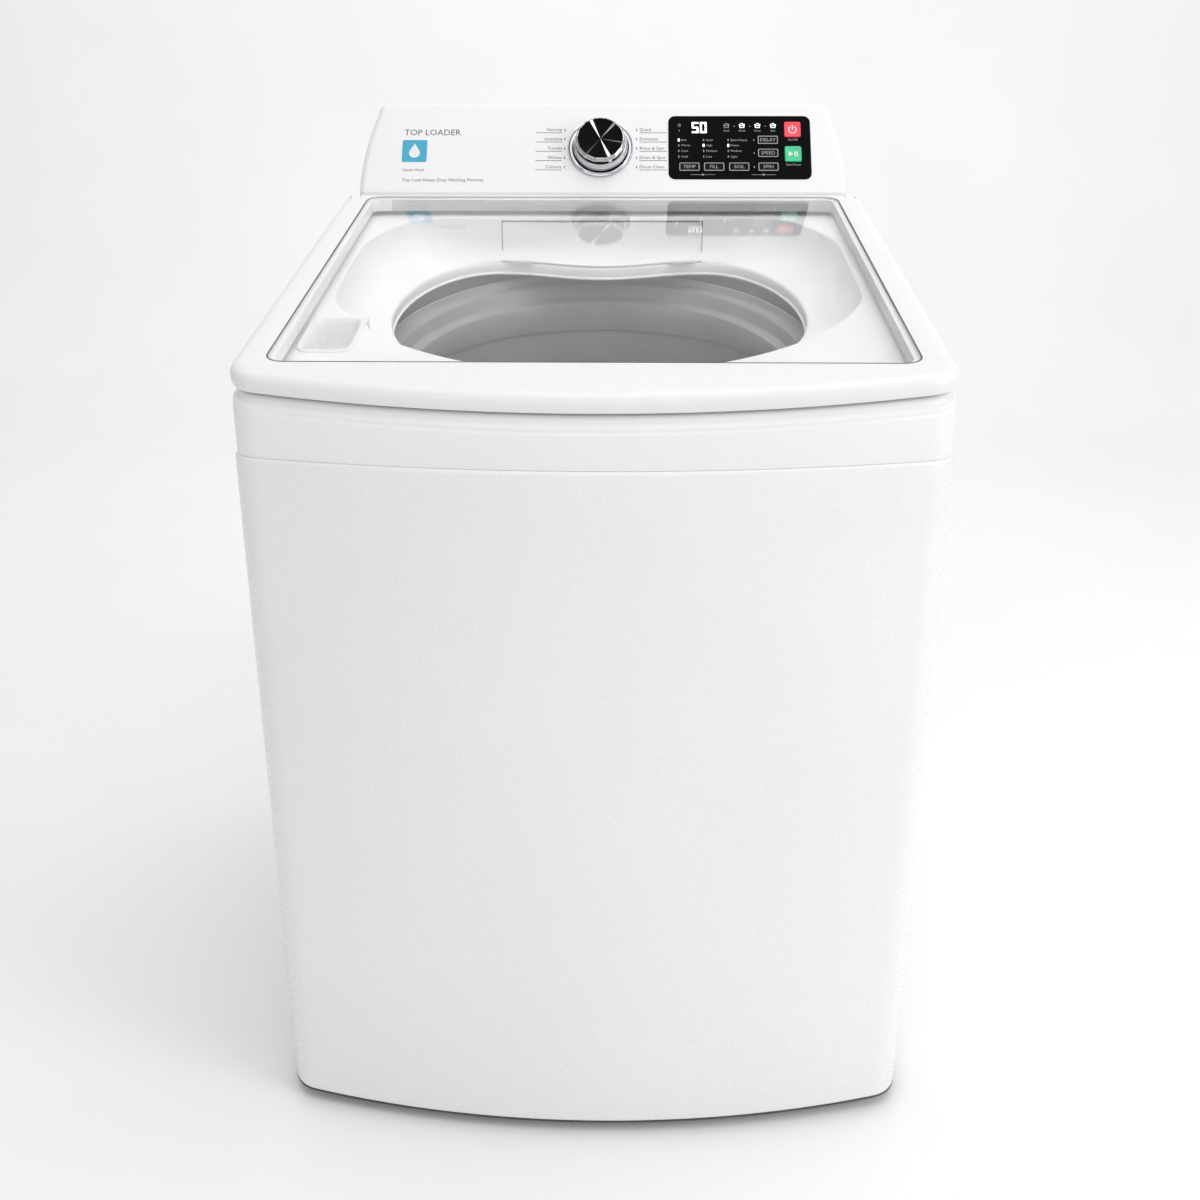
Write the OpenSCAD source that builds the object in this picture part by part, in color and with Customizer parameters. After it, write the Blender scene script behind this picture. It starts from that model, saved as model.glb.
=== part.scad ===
// Top load washing machine: bowed steel cabinet, sloping glass lid, raised console,
// suspended tub, perforated drum, impeller and belt drive. Millimetres, +Z up, +Y to the back.
// The origin is the centre of the footprint, on the floor.

/* [Cabinet] */
// Width over the side panels
body_w = 675; // [665:1:685]
// Depth from the crown of the bowed front to the ends of the inlet spigots
body_d = 740; // [736:1:750]
// How far the middle of the front bows out past its ends
front_bow = 50; // [40:1:55]
// Radius of the two front corners, seen from above
corner_r = 38; // [32:1:44]
// Height of the seam between the cabinet and the top cover
seam_z = 737; // [735:1:739]
// Thickness of the cabinet and rear panel sheet
sheet_t = 1.5; // [1:0.1:1.8]

/* [Lid and deck] */
// Slope of the lid and the deck, in degrees
lid_slope = 12; // [11.5:0.1:12.5]
// Height of the lid's top surface at the ends of the bowed front
lid_front_z = 816; // [814:1:818]
// Thickness of the lid, measured upright
lid_t = 19; // [18:0.5:19]
// Drop from the lid's top surface to the deck's rim
rim_drop = 25; // [24.5:0.5:27]
// Drop from the lid's top surface to the floor of the bowl
bowl_drop = 76; // [74:1:78]
// Thickness of the moulded walls of the deck
wall_t = 3; // [2.5:0.1:3.2]
// Half the width of the glass
glass_half_w = 304; // [300:1:306]
// Half the width of the bowl
bowl_half_w = 290; // [288:1:292]

/* [Console] */
// Height of the console's top
console_top = 1051; // [1048:1:1053]
// Tilt of the console's face back from upright, in degrees
face_tilt = 34; // [33.5:0.1:34.5]
// Half the width of the console at its foot
console_half_w = 321; // [318:1:324]
// Radius of the knob's chrome bezel
bezel_r = 43.3; // [42:0.1:44]
// Height of the knob above the face
knob_h = 24; // [22:1:26]

/* [Tub and drum] */
// Radius of the drum
drum_r = 250; // [246:1:250]
// Inside radius of the outer tub
tub_r = 282; // [280:1:284]
// Height of the tub's rim
tub_top = 722; // [718:1:723]
// Inside radius of the balance ring
balance_r = 203; // [198:1:206]
// Radius of the impeller
impeller_r = 168; // [160:1:172]
// Number of impeller vanes
vanes = 6; // [4:1:8]
// Radius of the main pulley
main_pulley_r = 105; // [95:1:108]
// Radius of the motor pulley
motor_pulley_r = 24; // [22:1:26]

/* [Hidden] */
$fn = 96;

// Running clearance of a shaft in its hole, and the gap between loose neighbours
run_gap = 0.05;
loose_gap = 0.4;

// The cabinet's outline: a bow, two tangent corner arcs and a square back
half_w = body_w / 2;
front_y = -body_d / 2;
spigot_y = body_d / 2;
rear_y = spigot_y - 20;
bow_r = (half_w * half_w + front_bow * front_bow) / (2 * front_bow);
bow_y = front_y + bow_r;
corner_x = half_w - corner_r;
corner_y = bow_y - sqrt(pow(bow_r - corner_r, 2) - corner_x * corner_x);
bow_angle = asin(corner_x / (bow_r - corner_r));
foot_z = 12;
shell_z = foot_z + 2;
flange_w = 16;

// Sloping planes of the lid and deck
slope_y = front_y + front_bow;
function lid_z(y, drop = 0) = lid_front_z - drop + (y - slope_y) * tan(lid_slope);
big = 1200;

// Bowl and loading opening
bowl_back_y = 240;
bowl_center_y = 44;
bowl_front_r = 305;
lobe_x = 239;
lobe_y = -116;
opening_back_y = 222;
opening_waist_y = 200;
opening_half_w = 241;
opening_front_r = 234;
opening_lobe_x = 130;
collar_h = 14;

// Splash skirt that hangs from the deck outside the tub's ring
skirt_r = 268;
skirt_z = 744;
skirt_h = 44;

// Bleach cup pocket in the left front of the deck
cup_x = -268;
cup_y = -170;
cup_w = 50;
cup_l = 84;
cup_h = 30;

// Lid and its hinge
hinge_y = 256;
hinge_z = lid_z(hinge_y, lid_t / 2);
hinge_r = 4;
lug_x = 322;
lug_w = 12;
lug_gap = 1;
glass_t = 4;
glass_front_y = -296;
glass_back_y = 250;
glass_lip = 7;
lid_inset = 2.5;
grip_half_w = 80;
grip_d = 10;

// Lid lock at the right front
lock_x = 313;
lock_y = -232;
lock_depth = 36;
striker_drop = 32;
bolt_w = 6;
bolt_h = 8;
bolt_travel = 5;
// Ends of the striker's way through the rim, along the lock: the blade swings forward as it lifts
striker_way = [lock_y - 19, lock_y + 16];

// Console
console_y = 268;
face_z = lid_z(console_y, -1);
console_back = rear_y - 2;
console_t = 3;
crown_r = 5;
knob_u = -3;
knob_v = 65;
panel_u = [87, 275];
panel_v = [19, 113.5];
panel_r = 9;
glass_proud = 0.6;
pocket_d = 1.6;
key_depth = 6;
key_proud = 1.4;
key_travel = 1;
board_w = -12.4;
// Middle of each key on the face, then its width and height
temp_at = [114.5, 37];
fill_at = [147, 37];
soil_at = [180, 37];
spin_at = [218.5, 37];
speed_at = [218.5, 57.6];
delay_at = [218.5, 77.1];
key_size = [29.5, 15];
power_at = [251.5, 93];
start_at = [251.5, 56.3];
button_size = [22, 23];
keys = [
    [temp_at, key_size], [fill_at, key_size], [soil_at, key_size], [spin_at, key_size],
    [speed_at, key_size], [delay_at, key_size], [power_at, button_size], [start_at, button_size]
];

// Inlet valves in the back of the console, with G3/4 threads
valve_z = 972;
hot_x = -180;
cold_x = -240;
spigot_r = 13.2;
spigot_len = spigot_y - rear_y + 4;

// Detergent drawer and its housing
drawer_half_w = 130;
drawer_z = lid_z(bowl_back_y, bowl_drop) + 2;
drawer_h = 44;
drawer_l = 92;
drawer_wall = 6;
// Left and right faces of the divider between the drawer's two compartments
divider_x = [34, 36];
apron_t = 1.6;
housing_back = bowl_back_y + 102;

// Tub suspension
tub_y = 17;
rod_x = 250;
rod_dy = 230;
rod_r = 4;
rod_foot_z = 205;
rod_top_z = 712;
lug_z = 318;
lug_t = 22;
spring_foot_z = rod_foot_z + 6;
spring_r = 13;
spring_wire_r = 2;
spring_turns = 6;
rods = [for (x = [-1, 1], y = [-1, 1]) [x * rod_x, tub_y + y * rod_dy]];

// Tub, drum and drive heights
tub_t = 4;
tub_floor = 240;
drum_floor = 262;
drum_top = 709;
housing_z = 140;
pulley_z = 84;
pulley_h = 16;
spin_shaft_r = 17.5;
drive_shaft_r = 10.1;
motor_x = -165;
motor_y = -95;
motor_r = 62;
belt_t = 4;
belt_gap = 0.35;

// Drain pump under the right back of the tub
pump_x = 190;
pump_y = 170;
pump_z = 22;
drain_z = 66;
drain_r = 15;
hose_foot_z = 118;
spout_y = 334;

// Feet
foot_x = 285;
foot_front_y = -275;
foot_rear_y = 300;
stud_r = 5;
feet = [for (x = [-foot_x, foot_x], y = [foot_front_y, foot_rear_y]) [x, y]];

// Screws of the rear panel and the console cover
screw_r = 2;
panel_screws = [for (x = [-324, 324], z = [60, 280, 500, 700]) [x, z]];
console_screws = [for (x = [-1, 1], z = [952, 1020]) [x * (console_w(z) - 8), z]];

gland_x = -250;
gland_z = 640;

// ---- Outlines ----

function arc(c, r, a0, a1, n, skip = 0) =
    [for (i = [skip:n]) let (a = a0 + (a1 - a0) * i / n) [c[0] + r * cos(a), c[1] + r * sin(a)]];

function mirrored(points) = [for (i = [len(points) - 1:-1:0]) [-points[i][0], points[i][1]]];

// Cabinet outline moved inwards by inset, with its straight back at back - inset
function body_points(inset, back = rear_y) = concat(
    arc([0, bow_y], bow_r - inset, -90 - bow_angle, -90 + bow_angle, 24),
    arc([corner_x, corner_y], corner_r - inset, -90 + bow_angle, 0, 8, 1),
    [[half_w - inset, back - inset], [inset - half_w, back - inset]],
    arc([-corner_x, corner_y], corner_r - inset, 180, 270 - bow_angle, 8)
);

// Right half of the loading opening from its front to the waist of its back
function opening_half(inset) = concat(
    [for (i = [0:16]) let (a = -90 + 90 * i / 16)
        [(opening_half_w - inset) * cos(a), bowl_center_y + (opening_front_r - inset) * sin(a)]],
    [for (i = [1:12]) let (a = 90 * i / 12)
        [opening_lobe_x + (opening_half_w - opening_lobe_x - inset) * cos(a),
         bowl_center_y + (opening_back_y - bowl_center_y - inset) * sin(a)]],
    [for (i = [1:8]) let (a = 180 * i / 8)
        [opening_lobe_x * (1 - i / 8),
         opening_waist_y - inset + (opening_back_y - opening_waist_y) * (1 + cos(a)) / 2]]
);
function opening_points(inset) =
    let (right = opening_half(inset), n = len(right))
    concat(right, [for (i = [n - 2:-1:1]) [-right[i][0], right[i][1]]]);

// Half the console's width at height z: it narrows upwards in a soft curve
function console_w(z) = console_half_w - 24 * pow(max(0, z - face_z) / (console_top - face_z), 2);
function console_outline(inset) =
    let (r = 12, cz = console_top - r, cx = console_w(cz) - r, foot = lid_z(console_y, rim_drop) - 5,
         right = concat(
            [[console_w(foot) - inset, foot]],
            [for (i = [0:8]) let (z = face_z + (cz - face_z) * i / 8) [console_w(z) - inset, z]],
            arc([cx, cz], r - inset, 0, 90, 5, 1)))
    concat(right, mirrored(right));

// Side view of the console: foot, tilted face, rounded crown, upright back
function console_side(inset, back) =
    let (foot = lid_z(console_y, rim_drop) - 5)
    concat(
        [[back - inset, foot], [console_y + inset, foot],
         [console_y + inset, face_z - inset * tan(face_tilt / 2)]],
        arc([back - crown_r, console_top - crown_r], crown_r - inset, 180 - face_tilt, 0, 6)
    );

// ---- Shared solids ----

module bore(r, h, z = 0) {
    translate([0, 0, z])
        cylinder(r = r, h = h);
}

module tube(r_out, r_in, h, z = 0) {
    translate([0, 0, z])
        difference() {
            cylinder(r = r_out, h = h);
            translate([0, 0, -1])
                cylinder(r = r_in, h = h + 2);
        }
}

module box(low, high) {
    translate(low)
        cube(high - low);
}

module prism(points, z0, z1) {
    translate([0, 0, z0])
        linear_extrude(z1 - z0)
            polygon(points);
}

module rounded_rect(size, r) {
    square([size[0] - 2 * r, size[1]], center = true);
    square([size[0], size[1] - 2 * r], center = true);
    for (x = [-1, 1], y = [-1, 1])
        translate([x * (size[0] / 2 - r), y * (size[1] / 2 - r)])
            circle(r = r, $fn = 32);
}

// Everything under the lid's top plane lowered by drop
module below_slope(drop) {
    translate([0, slope_y, lid_front_z - drop])
        rotate([lid_slope, 0, 0])
            translate([-big / 2, -big / 2, -big])
                cube([big, 2 * big, big]);
}

// A sloping slab from drop down to drop + t, measured upright
module slope_slab(drop, t) {
    translate([0, slope_y, lid_front_z - drop])
        rotate([lid_slope, 0, 0])
            translate([-big / 2, -big / 2, -t * cos(lid_slope)])
                cube([big, 2 * big, t * cos(lid_slope)]);
}

// Places children on the console's face: x across, y up the face, z out of it
module on_face(u = 0, v = 0, w = 0) {
    translate([0, console_y, face_z])
        rotate([90 - face_tilt, 0, 0])
            translate([u, v, w])
                children();
}

module at_tub() {
    translate([0, tub_y, 0])
        children();
}

// ---- Cabinet ----

module cabinet_shell() {
    color("white")
    difference() {
        union() {
            difference() {
                prism(body_points(0), shell_z, seam_z);
                prism(body_points(sheet_t), shell_z - 1, seam_z + 1);
            }
            difference() {
                prism(body_points(sheet_t / 2), seam_z - sheet_t, seam_z);
                prism(body_points(flange_w), seam_z - sheet_t - 1, seam_z + 1);
            }
        }
        box([-half_w + 26, rear_y - 20, 0], [half_w - 26, rear_y + 1, seam_z + 1]);
        panel_screw_holes(rear_y - 20, 30);
    }
}

module panel_screw_holes(y, length) {
    for (s = panel_screws)
        translate([s[0], y, s[1]])
            rotate([-90, 0, 0])
                cylinder(r = screw_r + run_gap, h = length, $fn = 24);
}

module rear_panel() {
    color("gainsboro")
    difference() {
        union() {
            box([-half_w + 2.5, rear_y - 2 * sheet_t, 20], [half_w - 2.5, rear_y - sheet_t, seam_z - 2]);
            for (x = [-150, 0, 150])
                box([x - 24, rear_y - 1.6, 130], [x + 24, rear_y + 1.5, 590]);
        }
        panel_screw_holes(rear_y - 20, 30);
        translate([pump_x, rear_y - 20, drain_z])
            rotate([-90, 0, 0])
                cylinder(r = drain_r + 1, h = 30);
        translate([gland_x, rear_y - 20, gland_z])
            rotate([-90, 0, 0])
                cylinder(r = 9.1, h = 30);
    }
}

module base_frame() {
    back = rear_y - 2 * sheet_t - 0.2 + sheet_t;
    inner = [half_w - 66, rear_y - 70];
    color("dimgray")
    difference() {
        union() {
            difference() {
                prism(body_points(0), foot_z, shell_z);
                box([-inner[0], front_y + 96, 0], [inner[0], inner[1], 99]);
            }
            difference() {
                prism(body_points(sheet_t, back), shell_z - 0.5, 18);
                box([-inner[0], front_y + 96, 0], [inner[0], inner[1], 99]);
            }
            difference() {
                prism(body_points(sheet_t, back), shell_z, 58);
                prism(body_points(sheet_t + 3.5, back), shell_z - 1, 59);
            }
            for (f = feet)
                box([f[0] - 30, f[1] - 30, foot_z], [f[0] + 30, f[1] + 30, 34]);
            box([pump_x - 55, pump_y - 50, 14], [half_w - 50, rear_y - 30, pump_z]);
        }
        for (f = feet)
            translate([f[0], f[1], 0])
                bore(stud_r + run_gap, 40);
        // Way out for the drain
        box([pump_x - 28, rear_y - 12, drain_z - 28], [pump_x + 28, rear_y, 80]);
    }
}

module levelling_foot(x, y) {
    color("black")
    translate([x, y, 0]) {
        bore(22, 6);
        bore(18, 4, 5);
        bore(stud_r, 41, 5);
    }
}

module corner_brackets() {
    color("silver")
    for (r = rods) {
        side = sign(r[0]);
        difference() {
            union() {
                box([min(r[0] - side * 22, side * (half_w - sheet_t)), r[1] - 30, 700],
                    [max(r[0] - side * 22, side * (half_w - sheet_t)), r[1] + 30, 704]);
                box([side * (half_w - sheet_t - 2) - 2, r[1] - 30, 670],
                    [side * (half_w - sheet_t - 2) + 2, r[1] + 30, 704]);
                translate([r[0], r[1], 0])
                    bore(16, 7, 703);
            }
            translate([r[0], r[1], 0])
                bore(rod_r + 3, 20, 698);
        }
    }
}

module suspension_rods() {
    color("silver")
    for (r = rods)
        translate([r[0], r[1], 0]) {
            bore(rod_r, rod_top_z - rod_foot_z, rod_foot_z);
            bore(17, 6, rod_foot_z);
            bore(12, 8, 710);
        }
}

// ---- Top cover ----

module bowl_2d(grow = 0) {
    difference() {
        intersection() {
            translate([0, bowl_center_y])
                circle(r = bowl_front_r + grow, $fn = 180);
            translate([0, (bowl_back_y + front_y) / 2])
                square([2 * (bowl_half_w + grow), bowl_back_y - front_y + 2 * grow], center = true);
        }
        translate([-lobe_x - 100 - grow, lobe_y - 200 - grow])
            square([100, 200]);
    }
}

module cup_2d(grow = 0) {
    translate([cup_x, cup_y])
        rounded_rect([cup_w + 2 * grow, cup_l + 2 * grow], 12 + grow);
}

module upright(z0, z1) {
    translate([0, 0, z0])
        linear_extrude(z1 - z0)
            children();
}

module deck_shell() {
    // Skirt
    intersection() {
        difference() {
            prism(body_points(0), seam_z, 960);
            prism(body_points(wall_t), seam_z - 1, 961);
        }
        below_slope(rim_drop);
    }
    // Rim
    intersection() {
        difference() {
            prism(body_points(wall_t / 2), seam_z, 960);
            upright(seam_z - 1, 961)
                bowl_2d();
        }
        slope_slab(rim_drop, wall_t);
    }
    // Sides of the bowl
    intersection() {
        difference() {
            upright(seam_z, 960)
                bowl_2d(wall_t);
            upright(seam_z - 1, 961)
                bowl_2d();
        }
        slope_slab(rim_drop + 0.5, bowl_drop - rim_drop + wall_t - 0.5);
    }
    // Floor of the bowl
    intersection() {
        difference() {
            upright(seam_z, 960)
                bowl_2d(wall_t / 2);
            prism(opening_points(0), seam_z - 1, 961);
        }
        slope_slab(bowl_drop, wall_t);
    }
    // Collar round the loading opening
    intersection() {
        difference() {
            prism(opening_points(-wall_t), seam_z, 960);
            prism(opening_points(0), seam_z - 1, 961);
        }
        slope_slab(bowl_drop + 1, collar_h - 1);
    }
    // Splash skirt outside the tub's ring, lower where it passes under the drawer's housing
    intersection() {
        at_tub()
            tube(skirt_r + wall_t, skirt_r, 200, skirt_z);
        union() {
            box([-half_w, front_y, skirt_z], [half_w, bowl_back_y - 4, 960]);
            box([-half_w, front_y, skirt_z], [half_w, rear_y, drawer_z - 5]);
        }
        slope_slab(bowl_drop + 1, skirt_h);
    }
    // Upright lugs for the lid's hinge
    for (x = [-lug_x, lug_x])
        difference() {
            box([x - lug_w / 2, hinge_y - 8, hinge_z - 24], [x + lug_w / 2, hinge_y + 8, hinge_z]);
            box([x - lug_w, hinge_y - 20, hinge_z - 40],
                [x + lug_w, hinge_y + 20, lid_z(hinge_y - 8, rim_drop) - wall_t + 1]);
        }
    for (x = [-lug_x, lug_x])
        translate([x - lug_w / 2, hinge_y, hinge_z])
            rotate([0, 90, 0])
                cylinder(r = 8, h = lug_w);
}

module top_cover() {
    color("white")
    difference() {
        deck_shell();
        // Pocket for the bleach cup
        upright(seam_z, 960)
            cup_2d(loose_gap);
        // Slot for the drawer
        box([-drawer_half_w - 1, bowl_back_y - 1, drawer_z - 1],
            [drawer_half_w + 1, bowl_back_y + wall_t + 1, drawer_z + drawer_h + 1]);
        // Slot for the striker
        box([lock_x - 4, striker_way[0], 780], [lock_x + 4, striker_way[1], 840]);
        // Way for hoses and wires from the console
        box([-140, 290, 880], [140, 330, 960]);
        // Hinge bores
        translate([-half_w, hinge_y, hinge_z])
            rotate([0, 90, 0])
                cylinder(r = hinge_r + run_gap, h = body_w);
    }
}

module bleach_cup() {
    color("whitesmoke") {
        intersection() {
            difference() {
                upright(740, 900)
                    cup_2d();
                upright(730, 901)
                    cup_2d(-2);
            }
            slope_slab(rim_drop - 1, cup_h + 1);
        }
        intersection() {
            upright(740, 900)
                cup_2d(-1);
            slope_slab(rim_drop + cup_h - 2, 2);
        }
        intersection() {
            difference() {
                upright(740, 900)
                    cup_2d(4);
                upright(730, 901)
                    cup_2d(-2);
            }
            slope_slab(rim_drop - 2, 2);
        }
    }
}

module lid_bumpers() {
    color("gray")
    for (p = [[-312, -215], [312, -170], [-312, 180], [312, 180]])
        translate([p[0], p[1], lid_z(p[1], rim_drop)])
            rotate([lid_slope, 0, 0])
                cylinder(r = 6, h = (rim_drop - lid_t) * cos(lid_slope) - 0.3, $fn = 32);
}

module lid_lock() {
    low = lid_z(lock_y, rim_drop + wall_t + lock_depth);
    color("dimgray")
    difference() {
        intersection() {
            box([lock_x - 20, striker_way[0] - 7, low], [lock_x + 14, striker_way[1] + 20, 840]);
            below_slope(rim_drop + wall_t);
        }
        // Way for the striker
        box([lock_x - 5, striker_way[0] - 1, low + 4], [lock_x + 5, striker_way[1] + 1, 840]);
        // Way for the bolt
        box([lock_x - 16, lock_y - bolt_w / 2 - loose_gap, bolt_z() - loose_gap],
            [lock_x - 4, lock_y + bolt_w / 2 + loose_gap, bolt_z() + bolt_h + loose_gap]);
    }
}

// The bolt's lower face: it enters the striker's window from the left
function bolt_z() = lid_z(lock_y, lid_t + striker_drop) + 5;

module lock_bolt() {
    tip = lock_x + 2 - bolt_travel;
    color("orange")
    box([tip - 12, lock_y - bolt_w / 2, bolt_z()], [tip, lock_y + bolt_w / 2, bolt_z() + bolt_h]);
}

// ---- Lid ----

module lid_layer(inset, drop) {
    intersection() {
        prism(body_points(inset + lid_inset, hinge_y + inset + lid_inset), 700, 960);
        slope_slab(drop, 0.2);
    }
}

module glass_2d(grow = 0) {
    mid = (glass_front_y + glass_back_y) / 2;
    translate([0, mid])
        rounded_rect([2 * (glass_half_w + grow), glass_back_y - glass_front_y + 2 * grow], 18);
}

module lid_frame() {
    color("white")
    difference() {
        hull() {
            lid_layer(10, 0);
            lid_layer(3.5, 1.8);
            lid_layer(0.8, 5);
            lid_layer(0, 10);
            lid_layer(1, lid_t - 3);
            lid_layer(4, lid_t - 0.2);
            translate([-half_w + lid_inset + 6, hinge_y, hinge_z])
                rotate([0, 90, 0])
                    cylinder(r = lid_t / 2 * cos(lid_slope), h = body_w - 2 * lid_inset - 12, $fn = 24);
        }
        // Rebate for the glass, open below inside its lip
        intersection() {
            upright(700, 960)
                glass_2d(0.3);
            slope_slab(-20, 20 + glass_t);
        }
        upright(700, 960)
            glass_2d(-glass_lip);
        // Finger groove behind the front edge
        intersection() {
            box([-grip_half_w, front_y + 18, 700], [grip_half_w, front_y + 40, 900]);
            slope_slab(lid_t - grip_d, 40);
        }
        // Notches round the deck's hinge lugs
        for (x = [-lug_x, lug_x])
            box([x - lug_w / 2 - lug_gap, hinge_y - 12, 880], [x + lug_w / 2 + lug_gap, hinge_y + 20, 960]);
        // Bores for the hinge pins
        translate([-half_w, hinge_y, hinge_z])
            rotate([0, 90, 0])
                cylinder(r = hinge_r, h = body_w);
    }
}

module lid_glass() {
    color("lightblue", 0.35)
    intersection() {
        upright(700, 960)
            glass_2d();
        slope_slab(0.1, glass_t - 0.2);
    }
}

module hinge_pins() {
    color("silver")
    for (side = [-1, 1])
        translate([side > 0 ? lug_x - 16 : -lug_x - 11, hinge_y, hinge_z])
            rotate([0, 90, 0])
                cylinder(r = hinge_r, h = 27, $fn = 32);
}

module lid_striker() {
    low = lid_z(lock_y, lid_t + striker_drop);
    color("silver")
    difference() {
        union() {
            box([lock_x - 1.5, lock_y - 8, low], [lock_x + 1.5, lock_y + 8, 840]);
            box([lock_x - 6, lock_y - 10, lid_z(lock_y, lid_t + 3)], [lock_x + 6, lock_y + 10, 840]);
        }
        difference() {
            box([lock_x - 20, lock_y - 20, 700], [lock_x + 20, lock_y + 20, 900]);
            below_slope(lid_t);
        }
        box([lock_x - 5, lock_y - bolt_w / 2 - 1.5, bolt_z() - 1.5],
            [lock_x + 5, lock_y + bolt_w / 2 + 1.5, bolt_z() + bolt_h + 1.5]);
    }
}

// ---- Console ----

module console_solid(inset, back) {
    intersection() {
        translate([-big / 2, 0, 0])
            rotate([90, 0, 90])
                linear_extrude(big)
                    polygon(console_side(inset, back));
        translate([0, big / 2, 0])
            rotate([90, 0, 0])
                linear_extrude(big)
                    polygon(console_outline(inset));
    }
}

module console_front() {
    color("white")
    difference() {
        union() {
            difference() {
                console_solid(0, rear_y);
                console_solid(console_t, rear_y + console_t + 1);
            }
            for (s = console_screws)
                translate([s[0], console_back - 16, s[1]])
                    rotate([-90, 0, 0])
                        cylinder(r = 6, h = 16, $fn = 32);
        }
        box([-half_w, console_back, 800], [half_w, rear_y + 10, console_top + 1]);
        below_slope(rim_drop);
        console_screw_holes();
        // Knob spindle
        on_face(knob_u, knob_v, -20)
            cylinder(r = 6, h = 40);
        // Rebate for the control glass and the window behind its keys
        on_face(0, 0, -pocket_d)
            upright(0, 20)
                panel_2d(0.2);
        on_face(0, 0, -20)
            upright(0, 40)
                panel_2d(-5);
    }
}

module console_screw_holes() {
    for (s = console_screws)
        translate([s[0], console_back - 12, s[1]])
            rotate([-90, 0, 0])
                cylinder(r = screw_r + run_gap, h = 20, $fn = 24);
}

module console_rear_cover() {
    color("white")
    difference() {
        translate([0, rear_y, 0])
            rotate([90, 0, 0])
                linear_extrude(rear_y - console_back)
                    polygon(console_outline(0.4));
        below_slope(rim_drop - 0.3);
        console_screw_holes();
        for (x = [hot_x, cold_x])
            translate([x, rear_y - 20, valve_z])
                rotate([-90, 0, 0])
                    cylinder(r = spigot_r + 1.2, h = 40);
        for (i = [0:5])
            box([60 + 18 * i, console_back - 1, 960], [68 + 18 * i, rear_y + 1, 1000]);
    }
}

module panel_2d(grow) {
    translate([(panel_u[0] + panel_u[1]) / 2, (panel_v[0] + panel_v[1]) / 2])
        rounded_rect([panel_u[1] - panel_u[0] + 2 * grow, panel_v[1] - panel_v[0] + 2 * grow],
                     panel_r + grow);
}

module key_2d(at, size, grow = 0) {
    translate(at)
        rounded_rect([size[0] + 2 * grow, size[1] + 2 * grow], 2 + grow);
}

module control_glass() {
    color("black")
    on_face(0, 0, -pocket_d)
        upright(0, pocket_d + glass_proud)
            difference() {
                panel_2d(0);
                for (k = keys)
                    key_2d(k[0], k[1], loose_gap);
            }
}

module key(at, size) {
    on_face(0, 0, -key_depth)
        upright(0, key_depth + key_proud)
            key_2d(at, size);
}

module control_board() {
    color("darkgreen")
    on_face() {
        box([panel_u[0] + 7, panel_v[0] + 7, board_w], [panel_u[1] - 7, panel_v[1] - 7, board_w + 1.6]);
        // Switch under each key
        for (k = keys)
            translate([k[0][0], k[0][1], board_w + 1])
                bore(3, -key_depth - key_travel - 0.2 - board_w - 1);
        // Two-digit display module
        box([108, 84, board_w + 1], [150, 107, -pocket_d - 0.4]);
    }
}

module power_board() {
    color("darkgreen") {
        box([-120, console_back - 12, 950], [40, console_back - 10, 1010]);
        for (x = [-100, -60, -10])
            box([x, console_back - 28, 955], [x + 28, console_back - 11, 983]);
        for (x = [-110, 30], z = [955, 1005])
            translate([x, console_back - 11, z])
                rotate([-90, 0, 0])
                    cylinder(r = 3, h = 11, $fn = 24);
    }
}

module knob_bezel() {
    color("silver")
    on_face(knob_u, knob_v)
        rotate_extrude()
            polygon(concat(
                [[bezel_r - 6, 0], [bezel_r, 0]],
                arc([bezel_r - 2.5, 2], 2.5, 0, 120, 6),
                [[bezel_r - 6, 2.5]]));
}

module knob_encoder() {
    color("gray")
    on_face(knob_u, knob_v) {
        translate([0, 0, -9])
            difference() {
                union() {
                    translate([-8, -8, -6])
                        cube([16, 16, 6]);
                    bore(5, 11, -1);
                }
                translate([0, 0, -4])
                    bore(3 + run_gap, 20);
            }
    }
}

module knob_skirt() {
    color("silver")
    on_face(knob_u, knob_v) {
        rotate_extrude()
            polygon([[3.2, 2], [bezel_r - 7, 2], [bezel_r - 7, 6],
                     [bezel_r - 9, knob_h - 10], [3.2, knob_h - 10]]);
        bore(3, knob_h - 10 + 12, -12);
        tube(3.3, 2.9, knob_h - 12, 2);
    }
}

module knob_cap() {
    cap_r = bezel_r - 10;
    color("black")
    on_face(knob_u, knob_v)
        rotate_extrude()
            polygon([
                [0, knob_h - 10], [cap_r, knob_h - 10], [cap_r, knob_h - 3], [cap_r - 3, knob_h],
                [0, knob_h - 1.5]
            ]);
}

module inlet_valve(x, tint) {
    color(tint)
    translate([x, 0, valve_z]) {
        difference() {
            union() {
                translate([0, spigot_y - spigot_len, 0])
                    rotate([-90, 0, 0])
                        cylinder(r = spigot_r, h = spigot_len);
                box([-17, console_back - 36, -15], [17, console_back - 2, 17]);
                translate([0, console_back - 6, 0])
                    rotate([-90, 0, 0])
                        cylinder(r = 19, h = 5.8);
            }
            translate([0, spigot_y - 30, 0])
                rotate([-90, 0, 0])
                    cylinder(r = 9, h = 40);
        }
        // Outlet towards the dispenser
        translate([0, console_back - 25, -27])
            bore(7, 13);
    }
}

module dispenser_housing() {
    low = drawer_z - 4;
    high = drawer_z + drawer_h + 1.2;
    color("whitesmoke")
    difference() {
        box([-drawer_half_w - 4, bowl_back_y + wall_t, low], [drawer_half_w + 4, housing_back, high]);
        box([-drawer_half_w - 1, bowl_back_y, low + 2.5], [drawer_half_w + 1, housing_back - 3, high - 2]);
    }
}

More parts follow.
